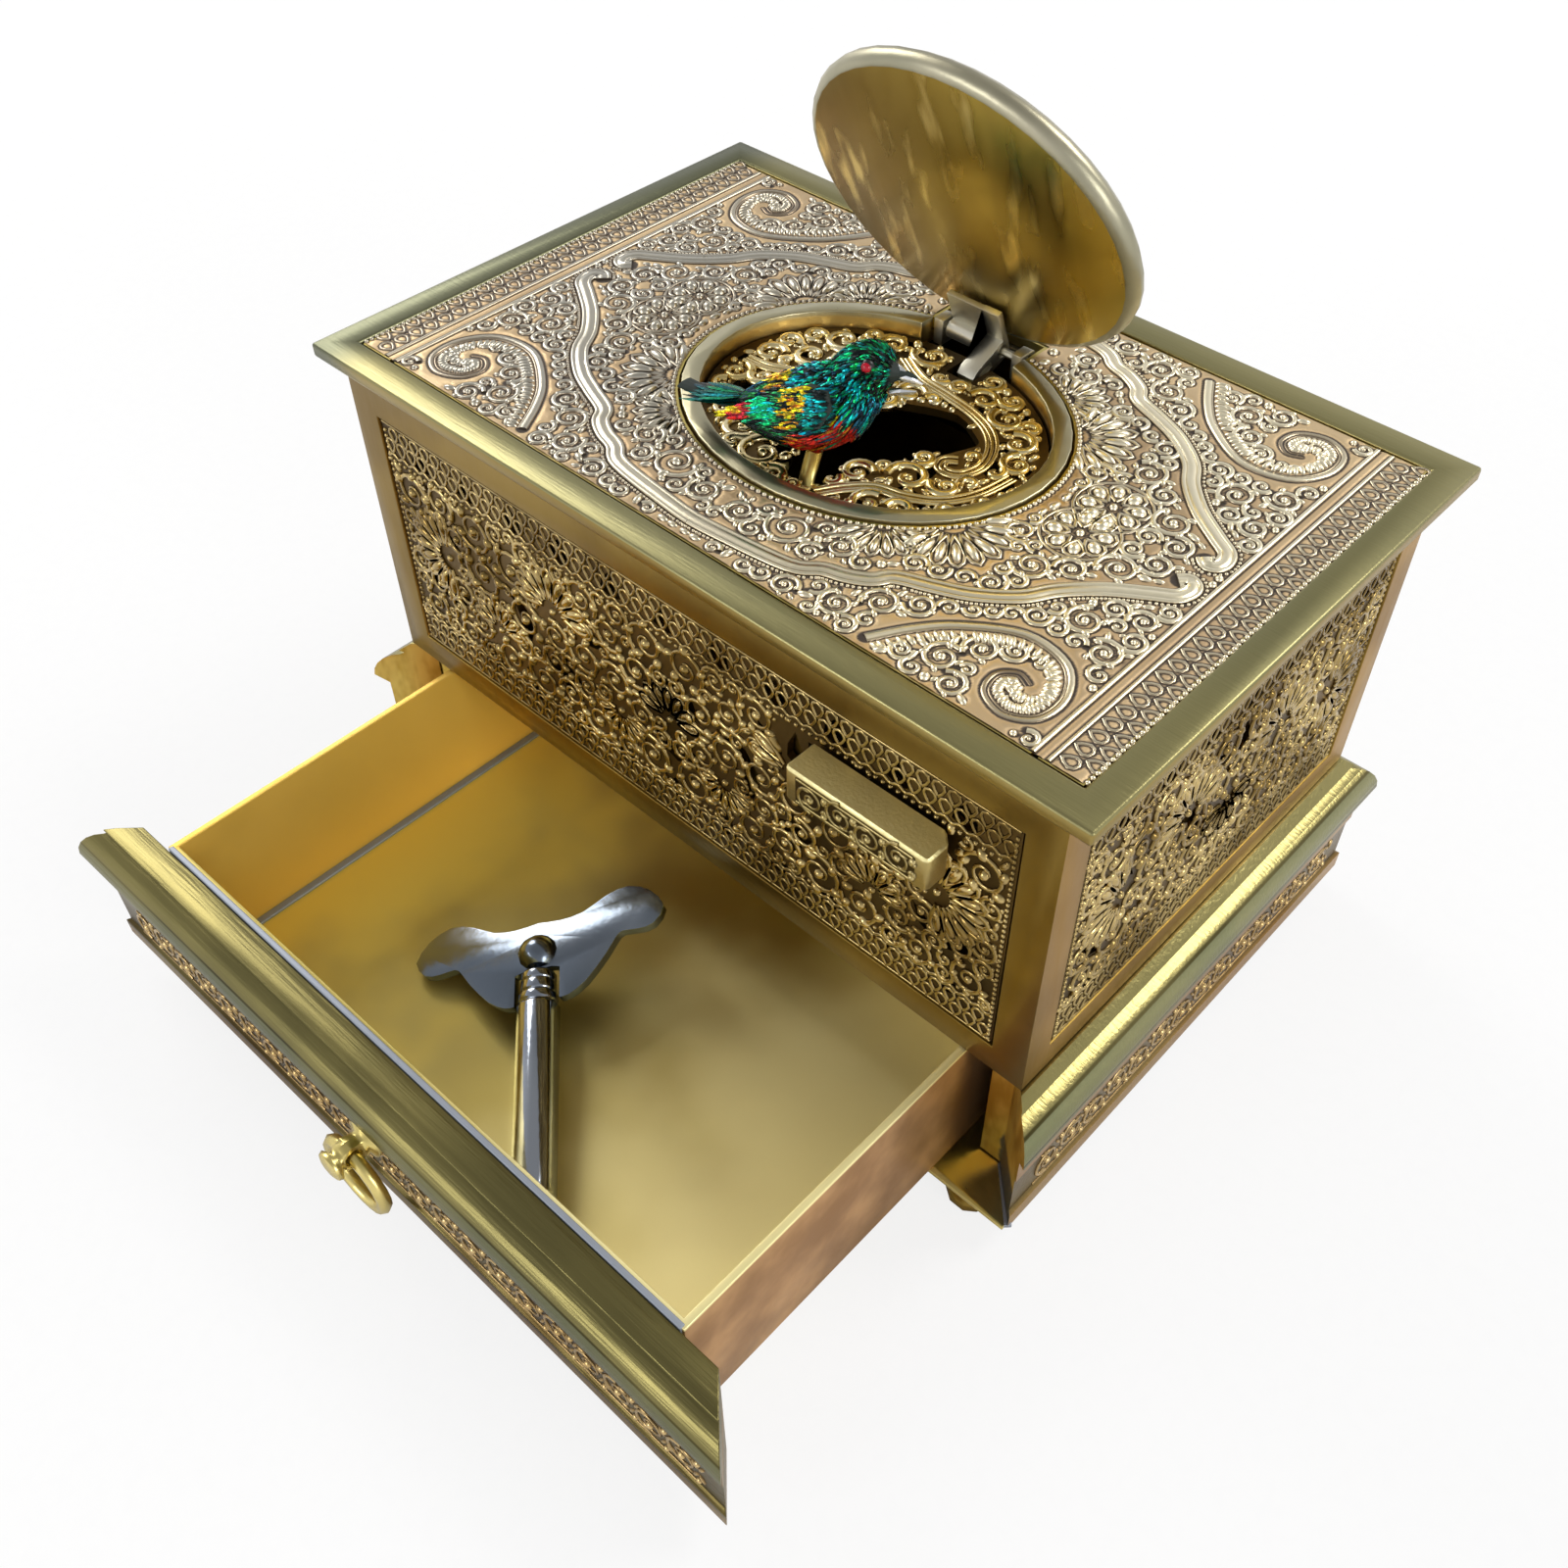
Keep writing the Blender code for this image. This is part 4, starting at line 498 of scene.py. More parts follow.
# A flat drawing of wires (x, y, lift, radius) and pearls or leaves (x, y, length, width, heading)
class Ornament:
    def __init__(self):
        self.wires = []
        self.pearls = []

    def wire(self, points, width, taper=0.0, lift=0.0):
        last = len(points) - 1
        self.wires.append([(x, y, lift, width / 2 * (1 - taper * (k / last)))
                           for k, (x, y) in enumerate(points)])

    def loop(self, points, width):
        self.wire(points + [points[0]], width)

    def pearl(self, x, y, radius):
        self.pearls.append((x, y, radius, radius, 0.0))

    def leaf(self, x, y, heading, length, width):
        self.pearls.append((*polar(x, y, length / 2, heading), length / 2, width / 2, heading))

    def spiral(self, x, y, radius, start, hand, turns, width):
        steps = max(12, int(16 * turns * min(1.0, 0.5 + radius / 3)))
        points = []
        for k in range(steps + 1):
            t = k / steps
            points.append(polar(x, y, radius * (1 - t * 0.80), start + hand * 2 * math.pi * turns * t))
        self.wire(points, width, 0.45)
        self.pearl(x, y, max(radius * 0.22, 0.22))

    def petal(self, x, y, heading, length, width, wire):
        c, s = math.cos(heading), math.sin(heading)
        self.loop([(x + (u * length * c - v * width * s), y + (u * length * s + v * width * c))
                   for u, v in petalShape], wire)

    def fan(self, x, y, radius, heading, count, sweep, wire):
        inner = radius * 0.28
        width = radius * math.radians(sweep) / count * 0.85
        for k in range(count):
            a = heading + math.radians(sweep) * (k / (count - 1) - 0.5)
            self.petal(*polar(x, y, inner, a), a, radius - inner, width, wire)
            self.leaf(*polar(x, y, radius * 0.45, a), a, radius * 0.46, width * 0.62)
        self.pearl(x, y, min(0.5, radius * 0.14))

    def rosette(self, x, y, radius, count, wire):
        self.fan(x, y, radius * 0.92, 0.0, count, 360 - 360 / count, wire)
        self.loop([polar(x, y, radius, 2 * math.pi * k / 24) for k in range(24)], wire * 0.9)

    def beads(self, path, pitch, radius):
        for x, y, _ in walked(path, pitch):
            self.pearl(x, y, radius)

    def ovalBeads(self, a, b, pitch, radius):
        turns = np.linspace(0, 2 * math.pi, 61)
        self.beads([(a * math.cos(t), b * math.sin(t)) for t in turns], pitch, radius)

    def mirrored(self, both=False):
        whole = Ornament()
        for sx, sy in [(1, 1), (-1, 1)] + ([(1, -1), (-1, -1)] if both else []):
            whole.wires += [[(x * sx, y * sy, z, r) for x, y, z, r in wire] for wire in self.wires]
            whole.pearls += [(x * sx, y * sy, r, w, math.atan2(math.sin(a) * sy, math.cos(a) * sx))
                             for x, y, r, w, a in self.pearls]
        return whole

    # The drawing without what lies where the test is true
    def cleared(self, wireTest, pearlTest):
        self.wires = [wire for wire in self.wires if not any(wireTest(x, y) for x, y, z, r in wire)]
        self.pearls = [pearl for pearl in self.pearls if not pearlTest(pearl[0], pearl[1])]


# Free ground of a drawing, packed with circles from the largest that fits to the smallest
class Field:
    def __init__(self, low, high, step=0.12):
        self.x, self.y = np.meshgrid(np.arange(low[0], high[0], step), np.arange(low[1], high[1], step))
        self.far = np.minimum(np.minimum(self.x - low[0], high[0] - self.x),
                              np.minimum(self.y - low[1], high[1] - self.y))
        self.circles = []

    def keep(self, x, y, radius, drawn=False):
        self.far = np.minimum(self.far, np.hypot(self.x - x, self.y - y) - radius)
        if drawn:
            self.circles.append((x, y, radius))

    def keepPath(self, path, margin):
        for x, y, _ in walked(path, 0.3):
            self.keep(x, y, margin)

    # Keeps clear of an oval, or inside it where side is -1
    def keepOval(self, a, b, side=1):
        self.far = np.minimum(self.far, side * (np.hypot(self.x / a, self.y / b) - 1) * min(a, b))

    def keepBox(self, x0, x1, y0, y1):
        dx = np.maximum(np.maximum(x0 - self.x, self.x - x1), 0)
        dy = np.maximum(np.maximum(y0 - self.y, self.y - y1), 0)
        self.far = np.minimum(self.far, np.hypot(dx, dy) - 0.01)

    def fill(self, largest, smallest, gap, limit):
        while len(self.circles) < limit:
            index = np.unravel_index(np.argmax(self.far), self.far.shape)
            room = self.far[index] - gap
            if room < smallest:
                break
            radius = max(min(room, largest * dice.uniform(0.62, 1.0)), smallest)
            x, y = self.x[index], self.y[index]
            if room > radius:
                near = np.hypot(self.x - x, self.y - y) < (room - radius)
                spare = np.where(near, self.far, 99)
                index = np.unravel_index(np.argmin(np.abs(spare - gap - radius)), self.far.shape)
                x, y = self.x[index], self.y[index]
            self.keep(x, y, radius, True)


# A scroll in each larger circle, turning against the one that it grows from, and leaves or pearls between
def scrolls(field, ornament, width, turns):
    hands = []
    for k, (x, y, radius) in enumerate(field.circles):
        start, hand = dice.uniform(0, fullTurn), 1
        if k:
            gaps = [(math.hypot(x - a, y - b) - c - radius, j)
                    for j, (a, b, c) in enumerate(field.circles[:k])]
            j = min(gaps)[1]
            a, b, _ = field.circles[j]
            start = math.atan2(b - y, a - x)
            hand = -hands[j]
        hands.append(hand)
        if radius > 0.8:
            ornament.spiral(x, y, radius + 0.1, start, hand, turns if radius > 1.2 else turns * 0.75, width)
        elif dice.random() < 0.25:
            ornament.pearl(x, y, radius * 0.8)
        else:
            ornament.leaf(*polar(x, y, -radius, start), start, 2 * radius + 0.3, radius * 1.1)


# Leaves round the scrolls that are larger than the least
def foliate(field, ornament, size, count, least):
    for x, y, radius in field.circles:
        if radius > least:
            first = dice.uniform(0, fullTurn)
            for k in range(count):
                a = first + fullTurn * k / count
                ornament.leaf(*polar(x, y, radius * 0.7, a), a + 1.0, radius * 0.6, radius * size)


# Free ground grown over with scrolls and leaves
growth = {"smallest": 0.5, "gap": 0.0, "limit": 600, "turns": 1.6, "leaf": 0.42, "leaves": 5, "least": 1.2}


def grown(field, ornament, settings):
    look = {**growth, **settings}
    field.fill(look["largest"], look["smallest"], look["gap"], look["limit"])
    scrolls(field, ornament, look["wire"], look["turns"])
    foliate(field, ornament, look["leaf"], look["leaves"], look["least"])


# The plane of a drawing: its origin, and where its x and y point
def plane(origin, across, upward):
    out = Vector(across).cross(Vector(upward))
    turn = Matrix((Vector(across), Vector(upward), out)).transposed().to_4x4()
    return Matrix.Translation(origin) @ turn @ Matrix.Scale(mm, 4)


# The upright plane on one side of a node, inset from its face
def sidePlane(node, axis, outward, inset, z):
    low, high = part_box(node)
    corner = high if outward > 0 else low
    if axis == "X":
        face = corner.x - outward * inset * mm
        return face, plane(Vector((face, caseMiddle.y, z)), (0, outward, 0), (0, 0, 1))
    face = corner.y - outward * inset * mm
    return face, plane(Vector((0, face, z)), (-outward, 0, 0), (0, 0, 1))


pearlShape = [[(ring * math.cos(math.pi * k / 4), ring * math.sin(math.pi * k / 4), height) for k in range(8)]
              for ring, height in ((1.0, 0.0), (0.8, 0.6), (0.42, 0.91))]


# A drawing made solid: round wires, and domed pearls and leaves
def built(name, ornament, where, look, body, flat=0.9):
    data = bpy.data.curves.new(name, "CURVE")
    data.dimensions = "3D"
    data.bevel_depth = 1.0
    data.bevel_resolution = 1
    data.twist_mode = "Z_UP"
    data.use_fill_caps = True
    for wire in ornament.wires:
        spline = data.splines.new("POLY")
        spline.points.add(len(wire) - 1)
        for point, (x, y, z, radius) in zip(spline.points, wire):
            point.co = (x, y, z, 1.0)
            point.radius = radius
    selectOnly(linked(name, data))
    bpy.ops.object.convert(target="MESH")
    piece = bpy.context.object
    corners, faces = [], []
    for x, y, length, width, heading in ornament.pearls:
        base = len(corners)
        c, s = math.cos(heading), math.sin(heading)
        rise = min(length, width) * 0.9
        for ring in pearlShape:
            corners += [(x + length * u * c - width * v * s, y + length * u * s + width * v * c,
                         rise * w / flat) for u, v, w in ring]
        corners.append((x, y, rise / flat))
        for r in range(2):
            for k in range(8):
                n = (k + 1) % 8
                faces.append((base + 8 * r + k, base + 8 * r + n, base + 8 * r + 8 + n, base + 8 * r + 8 + k))
        for k in range(8):
            faces.append((base + 16 + k, base + 16 + (k + 1) % 8, base + 24))
    pearls = bpy.data.meshes.new(name + "Pearls")
    pearls.from_pydata(corners, [], faces)
    selectOnly(piece, linked(name + "Pearls", pearls))
    bpy.ops.object.join()
    piece.data.transform(where @ Matrix.Diagonal((1, 1, flat, 1)))
    piece.data.materials.clear()
    piece.data.materials.append(look)
    selectOnly(piece)
    bpy.ops.object.shade_smooth()
    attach(piece, body)
    print("stage:", name, len(piece.data.polygons))


print("stage: ornament tools")

# Top panel: relief of a cartouche band, volutes, fans and end strips, drawn for one quarter
top = {"x": 45.0, "y": 30.6, "oval": (24.0, 20.1), "cut": (23.9, 20.0), "hinge": (7.2, 10, 22.8),
       "band": [(0.0, -27.9), (3.2, -27.7), (12.1, -26.6), (15.0, -24.8), (17.4, -24.0), (19.6, -22.7),
                (21.0, -20.9), (24.6, -19.4), (28.2, -17.7), (31.8, -14.8), (33.9, -11.6), (37.1, -8.4),
                (40.7, -5.9), (42.9, -4.4), (43.4, -2.6), (42.5, -1.7), (41.6, -2.4)],
       "fern": [(24.6, -29.4), (27.0, -25.4), (30.0, -22.0), (35.4, -18.7), (40.7, -19.4), (43.4, -23.0),
                (43.2, -27.0), (40.4, -28.8), (37.3, -27.6), (36.6, -25.0), (38.2, -23.4), (40.0, -24.0)],
       "growth": {"largest": 2.7, "wire": 0.78, "leaf": 0.34, "leaves": 4},
       "rosette": (30.2, -2.9, 4.2),
       "fans": [(22.6, -11.9, 4.4), (16.4, -16.9, 3.4)],
       "volutes": [(8.2, -22.2, 2.7), (14.0, -20.9, 1.9), (29.6, -10.2, 2.1), (36.2, -4.9, 2.2),
                   (23.4, -17.2, 1.2), (28.4, -15.1, 1.6), (2.6, -23.6, 1.9), (38.4, -13.4, 2.1),
                   (34.6, -15.9, 1.4), (42.4, -16.0, 1.9), (19.4, -27.6, 1.9), (16.2, -28.8, 0.8),
                   (31.6, -26.6, 2.0), (28.2, -28.4, 1.3), (42.6, -9.8, 1.6), (6.4, -29.6, 0.8),
                   (11.0, -29.2, 1.1)],
       "strip": {"count": 29, "half": 30.4, "rows": (48.2, 50.2), "beads": 51.0,
                 "lines": ((45.2, 0.7), (46.9, 0.6))}}


def topQuarter():
    quarter = Ornament()
    field = Field((0.0, -top["y"]), (top["x"], 0.0))
    field.keepOval(24.7, 20.8)
    band, fern = smooth(top["band"], 5), smooth(top["fern"], 5)
    field.keepPath(band, 1.35)
    field.keepPath(fern, 1.35)
    for shape in [top["rosette"]] + top["fans"]:
        field.keep(*shape)
    for volute in top["volutes"]:
        field.keep(*volute, True)
    quarter.rosette(*top["rosette"], 8, 0.5)
    for x, y, radius in top["fans"]:
        heading = math.atan2(y, x)
        quarter.fan(*polar(x, y, -0.75 * radius, heading), radius * 1.6, heading, 9, 150, 0.5)
    grown(field, quarter, top["growth"])
    quarter.wire(band, 1.7, 0.0, -0.35)
    for offset in (0.75, -0.75):
        quarter.wire(shifted(band, offset), 0.62, 0.0, 0.12)
    quarter.beads(shifted(band, 1.35), 0.55, 0.22)
    quarter.wire(fern, 1.3, 0.55, -0.2)
    quarter.wire(shifted(fern, 0.5), 0.4, 0.5)
    for k, (x, y, heading) in enumerate(walked(fern, 0.85)):
        a = heading - math.radians(75)
        quarter.leaf(*polar(x, y, 0.7, a), a, 1.9 if k < 30 else 1.3, 0.75)
    for k in range(9):
        a = math.radians(200 + 26 * k)
        quarter.leaf(*polar(40.2, -24.2, 1.0, a), a, 1.5, 0.9)
    return quarter


def endStrips(part):
    strip = top["strip"]
    half, edge = strip["half"], top["y"]
    pitch = 2 * half / strip["count"]
    for side in (-1, 1):
        for row, x in enumerate(strip["rows"]):
            for k in range(strip["count"]):
                y = -half + pitch * (k + 0.5 + 0.5 * row)
                part.petal(side * (x - 0.8), y, 0.0 if side > 0 else math.pi, 1.9, 1.5, 0.42)
        part.beads([(side * strip["beads"], -half), (side * strip["beads"], half)], 0.75, 0.3)
        for x, width in strip["lines"]:
            part.wire([(side * x, -edge), (side * x, edge)], width)


def byHinge(x, y):
    wide, near, far = top["hinge"]
    return abs(x) < wide and near < y < far


def inOval(x, y, oval):
    return math.hypot(x / oval[0], y / oval[1]) <= 1


topPart = topQuarter().mirrored(True)
endStrips(topPart)
topPart.cleared(lambda x, y: inOval(x, y, top["cut"]), lambda x, y: inOval(x, y, top["oval"]))
topPart.ovalBeads(*top["oval"], 0.8, 0.3)
topPart.cleared(byHinge, byHinge)
# The top relief's tone rises from left to right as painted light, and sinks to a painted shade tone down at
# the plate
topLook = metal("top relief", {"second": (0.97, 0.79, 0.45), "rough": 0.31, "patch": 35.0, "share": 0.2,
                               "ramp": ("X", (0.52, 0.49, 0.41), [(-30 * mm, 35 * mm, (1.0, 0.91, 0.66))]),
                               "height": ("Z", caseMiddle.z - reliefDrop * mm, caseMiddle.z - 0.12 * mm),
                               "paintedShade": (0.28, 0.20, 0.125)})
topPlane = plane(place(0, 0, -reliefDrop), (1, 0, 0), (0, 1, 0))
built("topRelief", topPart, topPlane, topLook, "case", 0.7)

# Ground of the top: a fine sheet that sinks away from the relief, with painted shade darkening it beside the
# relief
groundSet = {"name": "topGround", "size": (101.4, 61.4), "step": 0.24, "rise": 0.02, "depth": 0.10,
             "reach": 5, "oval": (23.7, 19.8), "hinge": (7.0, 10, 22.6), "first": (0.62, 0.45, 0.26),
             "second": (0.82, 0.62, 0.36), "dark": (0.09, 0.075, 0.065)}


def groundLook():
    graph = graphNamed("top ground")
    shade = graph.node("ShaderNodeAttribute", {"attribute_name": "shade"}, {}, "Fac")
    patches = graph.noise(40.0, 3.0).between(0.35, 0.65)
    colour = graph.blend(patches, groundSet["first"], groundSet["second"])
    colour = graph.blend(shade.between(0.05, 0.5), groundSet["dark"], colour)
    rough = shade.between(0.0, 1.0, 0.62, 0.38)
    normal = graph.bump(graph.noise(1500.0), 0.15, 0.0002)
    return graph.surface(colour, rough, normal=normal)


# Distance of each grid point from the drawing's wires and pearls
def distances(ornament, xs, ys, step):
    far = np.full((len(ys), len(xs)), 9.0)

    def stamp(x, y, radius):
        i, j = int(round((x - xs[0]) / step)), int(round((y - ys[0]) / step))
        span = groundSet["reach"] + int(radius / step)
        rows = slice(max(0, j - span), j + span + 1)
        columns = slice(max(0, i - span), i + span + 1)
        gap = np.hypot(xs[None, columns] - x, ys[rows, None] - y) - radius
        far[rows, columns] = np.minimum(far[rows, columns], gap)

    for wire in ornament.wires:
        for (x, y, _, radius), (nx, ny, _, _) in zip(wire, wire[1:]):
            count = max(1, int(math.hypot(nx - x, ny - y) / step))
            for k in range(count):
                stamp(x + (nx - x) * k / count, y + (ny - y) * k / count, radius)
    for x, y, _, width, _ in ornament.pearls:
        stamp(x, y, width)
    return far


def ground(ornament, where, body):
    size, step, name = groundSet["size"], groundSet["step"], groundSet["name"]
    xs, ys = [np.linspace(-side / 2, side / 2, int(side / step) + 1) for side in size]
    shade = np.clip((distances(ornament, xs, ys, step) - 0.02) / 0.5, 0, 1)
    gridX, gridY = np.meshgrid(xs, ys)
    (ovalX, ovalY), (wide, near, far) = groundSet["oval"], groundSet["hinge"]
    hidden = np.hypot(gridX / ovalX, gridY / ovalY) < 1
    hidden |= (np.abs(gridX) < wide) & (gridY > near) & (gridY < far)
    corners = np.stack([gridX, gridY, groundSet["rise"] + groundSet["depth"] * shade], -1).reshape(-1, 3)
    index = np.arange(corners.shape[0]).reshape(gridX.shape)
    bad = hidden[:-1, :-1] | hidden[1:, :-1] | hidden[:-1, 1:] | hidden[1:, 1:]
    quads = np.stack([index[:-1, :-1], index[:-1, 1:], index[1:, 1:], index[1:, :-1]], -1)[~bad]
    data = bpy.data.meshes.new(name)
    data.from_pydata(corners.tolist(), [], quads.tolist())
    values = data.attributes.new("shade", "FLOAT", "POINT").data
    values.foreach_set("value", shade.reshape(-1).astype(np.float32))
    data.transform(where)
    data.materials.append(groundLook())
    piece = linked(name, data)
    selectOnly(piece)
    bpy.ops.object.mode_set(mode="EDIT")
    bpy.ops.mesh.select_all(action="SELECT")
    bpy.ops.mesh.delete_loose(use_verts=True, use_edges=True, use_faces=False)
    bpy.ops.object.mode_set(mode="OBJECT")
    bpy.ops.object.shade_smooth()
    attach(piece, body)
    print("stage:", name, len(piece.data.polygons))


ground(topPart, topPlane, "case")

# Side panels: filigree between two lattice strips; fans are x, y, radius, heading, petals and sweep
longPanel = {"half": 46.9, "wire": 0.76, "largest": 3.3, "smallest": 0.6, "gap": 0.02, "turns": 1.5,
             "fans": [(19.0, 6.0, 4.4, up, 9, 170), (40.6, 1.0, 4.6, 0.0, 9, 170),
                      (0.0, 1.0, 3.4, up, 7, 150), (30.0, -4.0, 3.2, up, 7, 150),
                      (8.4, -6.4, 3.0, -up, 7, 150)]}
shortPanel = {"half": 28.4, "wire": 0.8, "largest": 3.4, "smallest": 0.8, "gap": 0.02, "turns": 1.5,
              "fans": [(9.0, 5.2, 4.2, up, 9, 170), (22.4, 0.0, 4.4, 0.0, 9, 170),
                       (0.0, -3.4, 3.4, -up, 7, 150)]}
frontLow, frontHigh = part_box("front_panel")
frontMiddle = (frontLow + frontHigh) / 2
panelHigh = (frontHigh.z - frontLow.z) / mm / 2
slot = {"x": ((gripLow.x - frontMiddle.x) / mm - 5.5, (gripHigh.x - frontMiddle.x) / mm - 3.0),
        "y": ((gripLow.z - frontMiddle.z) / mm + 0.4, (gripHigh.z - frontMiddle.z) / mm - 0.4)}


def inSlot(x, y):
    return slot["x"][0] < x < slot["x"][1] and slot["y"][0] < y < slot["y"][1]


# A strip of petals in two rows, between a wavy wire with beads and a straight one
lattice = {"pitch": 1.9, "petal": (2.0, 1.5, 0.46), "rows": (-1.9, 1.75), "wave": (2.3, 0.25, 0.5),
           "beads": (3.1, 0.3), "edge": (2.1, 0.4)}


def latticeStrip(part, half, y0, side):
    count = int(2 * half / lattice["pitch"])
    pitch = 2 * half / count
    first, between = lattice["rows"]
    for row in (0, 1):
        for k in range(count - row):
            x = -half + pitch * (k + 0.5 + 0.5 * row)
            part.petal(x, y0 + first + between * row, up, *lattice["petal"])
    away, swing, width = lattice["wave"]
    part.wire([(-half + pitch / 6 * k, y0 + side * (away + swing * math.cos(k * math.pi / 3)))
               for k in range(count * 6)], width)
    away, radius = lattice["beads"]
    part.beads([(-half, y0 + side * away), (half, y0 + side * away)], pitch / 2, radius)
    away, width = lattice["edge"]
    part.wire([(-half, y0 - side * away), (half, y0 - side * away)], width)


def panelOrnament(panel, slotted=False):
    half, wire = panel["half"], panel["wire"]
    part = Ornament()
    field = Field((0.0, -panelHigh + 4.6), (half - 0.4, panelHigh - 5.0))
    for x, y, radius, heading, count, sweep in panel["fans"]:
        field.keep(x, y, radius * 0.82)
        part.fan(*polar(x, y, -0.5 * radius, heading), radius * 1.45, heading, count, sweep, wire)
    grown(field, part, panel)
    part = part.mirrored()
    if slotted:
        part.cleared(inSlot, inSlot)
    latticeStrip(part, half, panelHigh - 2.2, -1)
    latticeStrip(part, half, -panelHigh + 2.2, 1)
    for x in (-(half - 0.3), half - 0.3):
        part.beads([(x, -panelHigh + 0.4), (x, panelHigh - 0.4)], 0.8, 0.3)
    return part


filigree = {"front": panelOrnament(longPanel, True), "side": panelOrnament(shortPanel),
            "back": panelOrnament(longPanel)}
for name, drawing, axis, outward in (("front", "front", "Y", -1), ("right", "side", "X", 1),
                                     ("left", "side", "X", -1), ("back", "back", "Y", 1)):
    face, where = sidePlane(name + "_panel", axis, outward, 0.0, frontMiddle.z)
    deep, raised = face - outward * 0.1 * mm, face + outward * 0.3 * mm
    # The filigree darkens towards its plate with painted shade
    look = metal(name + " filigree", {"first": (0.25, 0.165, 0.05), "second": (0.60, 0.45, 0.19),
                                      "rough": 0.23, "height": (axis, deep, raised),
                                      "paintedShade": (0.05, 0.03, 0.01), "patch": 110.0})
    built(name + "Filigree", filigree[drawing], where, look, "case")

# Grille: thick acanthus scrolls clear of the folding bird
grilleSet = {
    "growth": {"largest": 2.9, "limit": 200, "wire": 1.4, "turns": 1.15, "least": 1.0},
    "birdWay": [(-15.6, -4.5), (-9.8, -4.6), (-7.6, -3.4), (-2.8, 0.1), (0.0, 2.1), (1.4, 3.7), (3.8, 6.4),
                (6.8, 6.5), (8.6, 5.4), (11.1, 4.6), (11.5, 1.7), (8.3, 0.2), (7.3, -1.8), (6.7, -4.6),
                (5.2, -6.3), (3.1, -7.5), (3.1, -13.6), (-0.6, -13.6), (-0.8, -9.5), (-5.0, -9.1),
                (-15.6, -7.8), (-15.6, -4.5)],
    "ribbon": [(-5.0, 11.6), (-1.0, 9.6), (3.2, 9.0), (7.6, 8.2), (11.2, 6.6), (13.6, 4.0), (14.6, 0.8),
               (13.6, -1.8), (11.6, -2.2), (10.9, -0.8), (12.0, 0.2)],
    "stem": [(4.6, -14.6), (6.2, -12.0), (8.6, -9.6), (12.0, -8.6), (15.2, -6.6), (17.4, -3.0), (18.2, 1.6)],
    "tendril": [(-18.6, -1.0), (-15.4, -0.6), (-12.0, 1.2), (-9.2, 4.4), (-5.8, 6.4), (-3.4, 5.0),
                (-4.4, 3.4)]}
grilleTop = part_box("grille")[1].z


def grilleOrnament():
    part = Ornament()
    way = grilleSet["birdWay"]
    field = Field((-21.0, -17.0), (21.0, 17.0), 0.15)
    field.keepOval(20.4, 16.5, -1)
    crossings = np.zeros(field.x.shape, bool)
    for (ax, ay), (bx, by) in zip(way, way[1:]):
        spans = (ay > field.y) != (by > field.y)
        crossings ^= spans & (field.x < ax + (field.y - ay) / (by - ay + 1e-9) * (bx - ax))
    field.far[crossings] = -1
    field.keepPath(way, 0.35)
    field.keepBox(-0.6, 4.0, 12.3, 17.0)
    for key in ("ribbon", "stem", "tendril"):
        path = smooth(grilleSet[key])
        field.keepPath(path, 0.8)
        for offset in (-0.55, 0.0, 0.55):
            part.wire(shifted(path, offset), 0.66, 0.35, 0.15 if offset else 0.0)
    grown(field, part, grilleSet["growth"])
    return part


# The grille's scrolls darken down towards its sheet with painted shade
grilleLook = metal("grille gilt", {"first": (0.72, 0.55, 0.22), "second": (0.90, 0.78, 0.46), "rough": 0.24,
                                   "height": ("Z", grilleTop - 0.15 * mm, grilleTop + 0.3 * mm),
                                   "paintedShade": (0.22, 0.13, 0.05), "patch": 120.0})
built("grilleScrolls", grilleOrnament(), plane(Vector((0, caseMiddle.y, grilleTop)), (1, 0, 0), (0, 1, 0)),
      grilleLook, "case")

# Bird: its own axes run forward, left and skyward; stations are forward, up, half height and half width
bird = {"heading": 18.0, "lean": 15.0, "belly": (1.5, -11.5, -0.5),
        "stations": [(-9.2, 3.2, 0.8, 0.9), (-7.6, 3.5, 1.9, 1.9), (-4.6, 4.2, 3.3, 2.9),
                     (-1.2, 5.0, 4.2, 3.5), (1.9, 6.6, 4.1, 3.5), (3.7, 8.8, 3.2, 3.0),
                     (4.6, 10.4, 2.9, 2.6), (6.0, 11.2, 2.5, 2.3), (7.4, 11.2, 1.4, 1.3),
                     (8.4, 11.2, 0.7, 0.6)],
        "wing": [(2.6, 9.1), (3.2, 7.3), (2.2, 5.1), (-0.6, 4.3), (-4.4, 4.1), (-8.9, 3.9), (-5.4, 6.3),
                 (-2.0, 8.1), (0.4, 9.2)],
        "neck": 5, "head": {"step": 0.16, "width": 0.30, "length": 0.42},
        "trunk": {"step": 0.22, "width": 0.40, "length": 0.62}}
birdHeading, birdLean = math.radians(bird["heading"]), math.radians(bird["lean"])
forward = Vector((math.cos(birdHeading), math.sin(birdHeading), 0))
sideways = Vector((-math.sin(birdHeading), math.cos(birdHeading), 0))
skyward = Vector((0, 0, 1)) * math.cos(birdLean) + sideways * math.sin(birdLean)
birdMatrix = Matrix((forward, skyward.cross(forward), skyward)).transposed().to_4x4()
birdMatrix = Matrix.Translation(place(*bird["belly"])) @ birdMatrix @ Matrix.Scale(mm, 4)


def spine(t):
    stations = bird["stations"]
    t = min(max(t, 0.0), len(stations) - 1.001)
    k = int(t)
    return [p + (q - p) * (t - k) for p, q in zip(stations[k], stations[k + 1])]


# A point on the bird's skin, t stations along and turned from its back, or grown out from there
def skin(t, turn, grow=0.0):
    f, u, high, wide = spine(t)
    a, b = spine(t - 0.5), spine(t + 0.5)
    along = Vector((b[0] - a[0], 0, b[1] - a[1])).normalized()
    lift = Vector((-along.z, 0, along.x))
    c, s = math.cos(turn), math.sin(turn)
    return Vector((f, 0, u)) + lift * (high + grow) * c + Vector((0, 1, 0)) * (wide + grow) * s


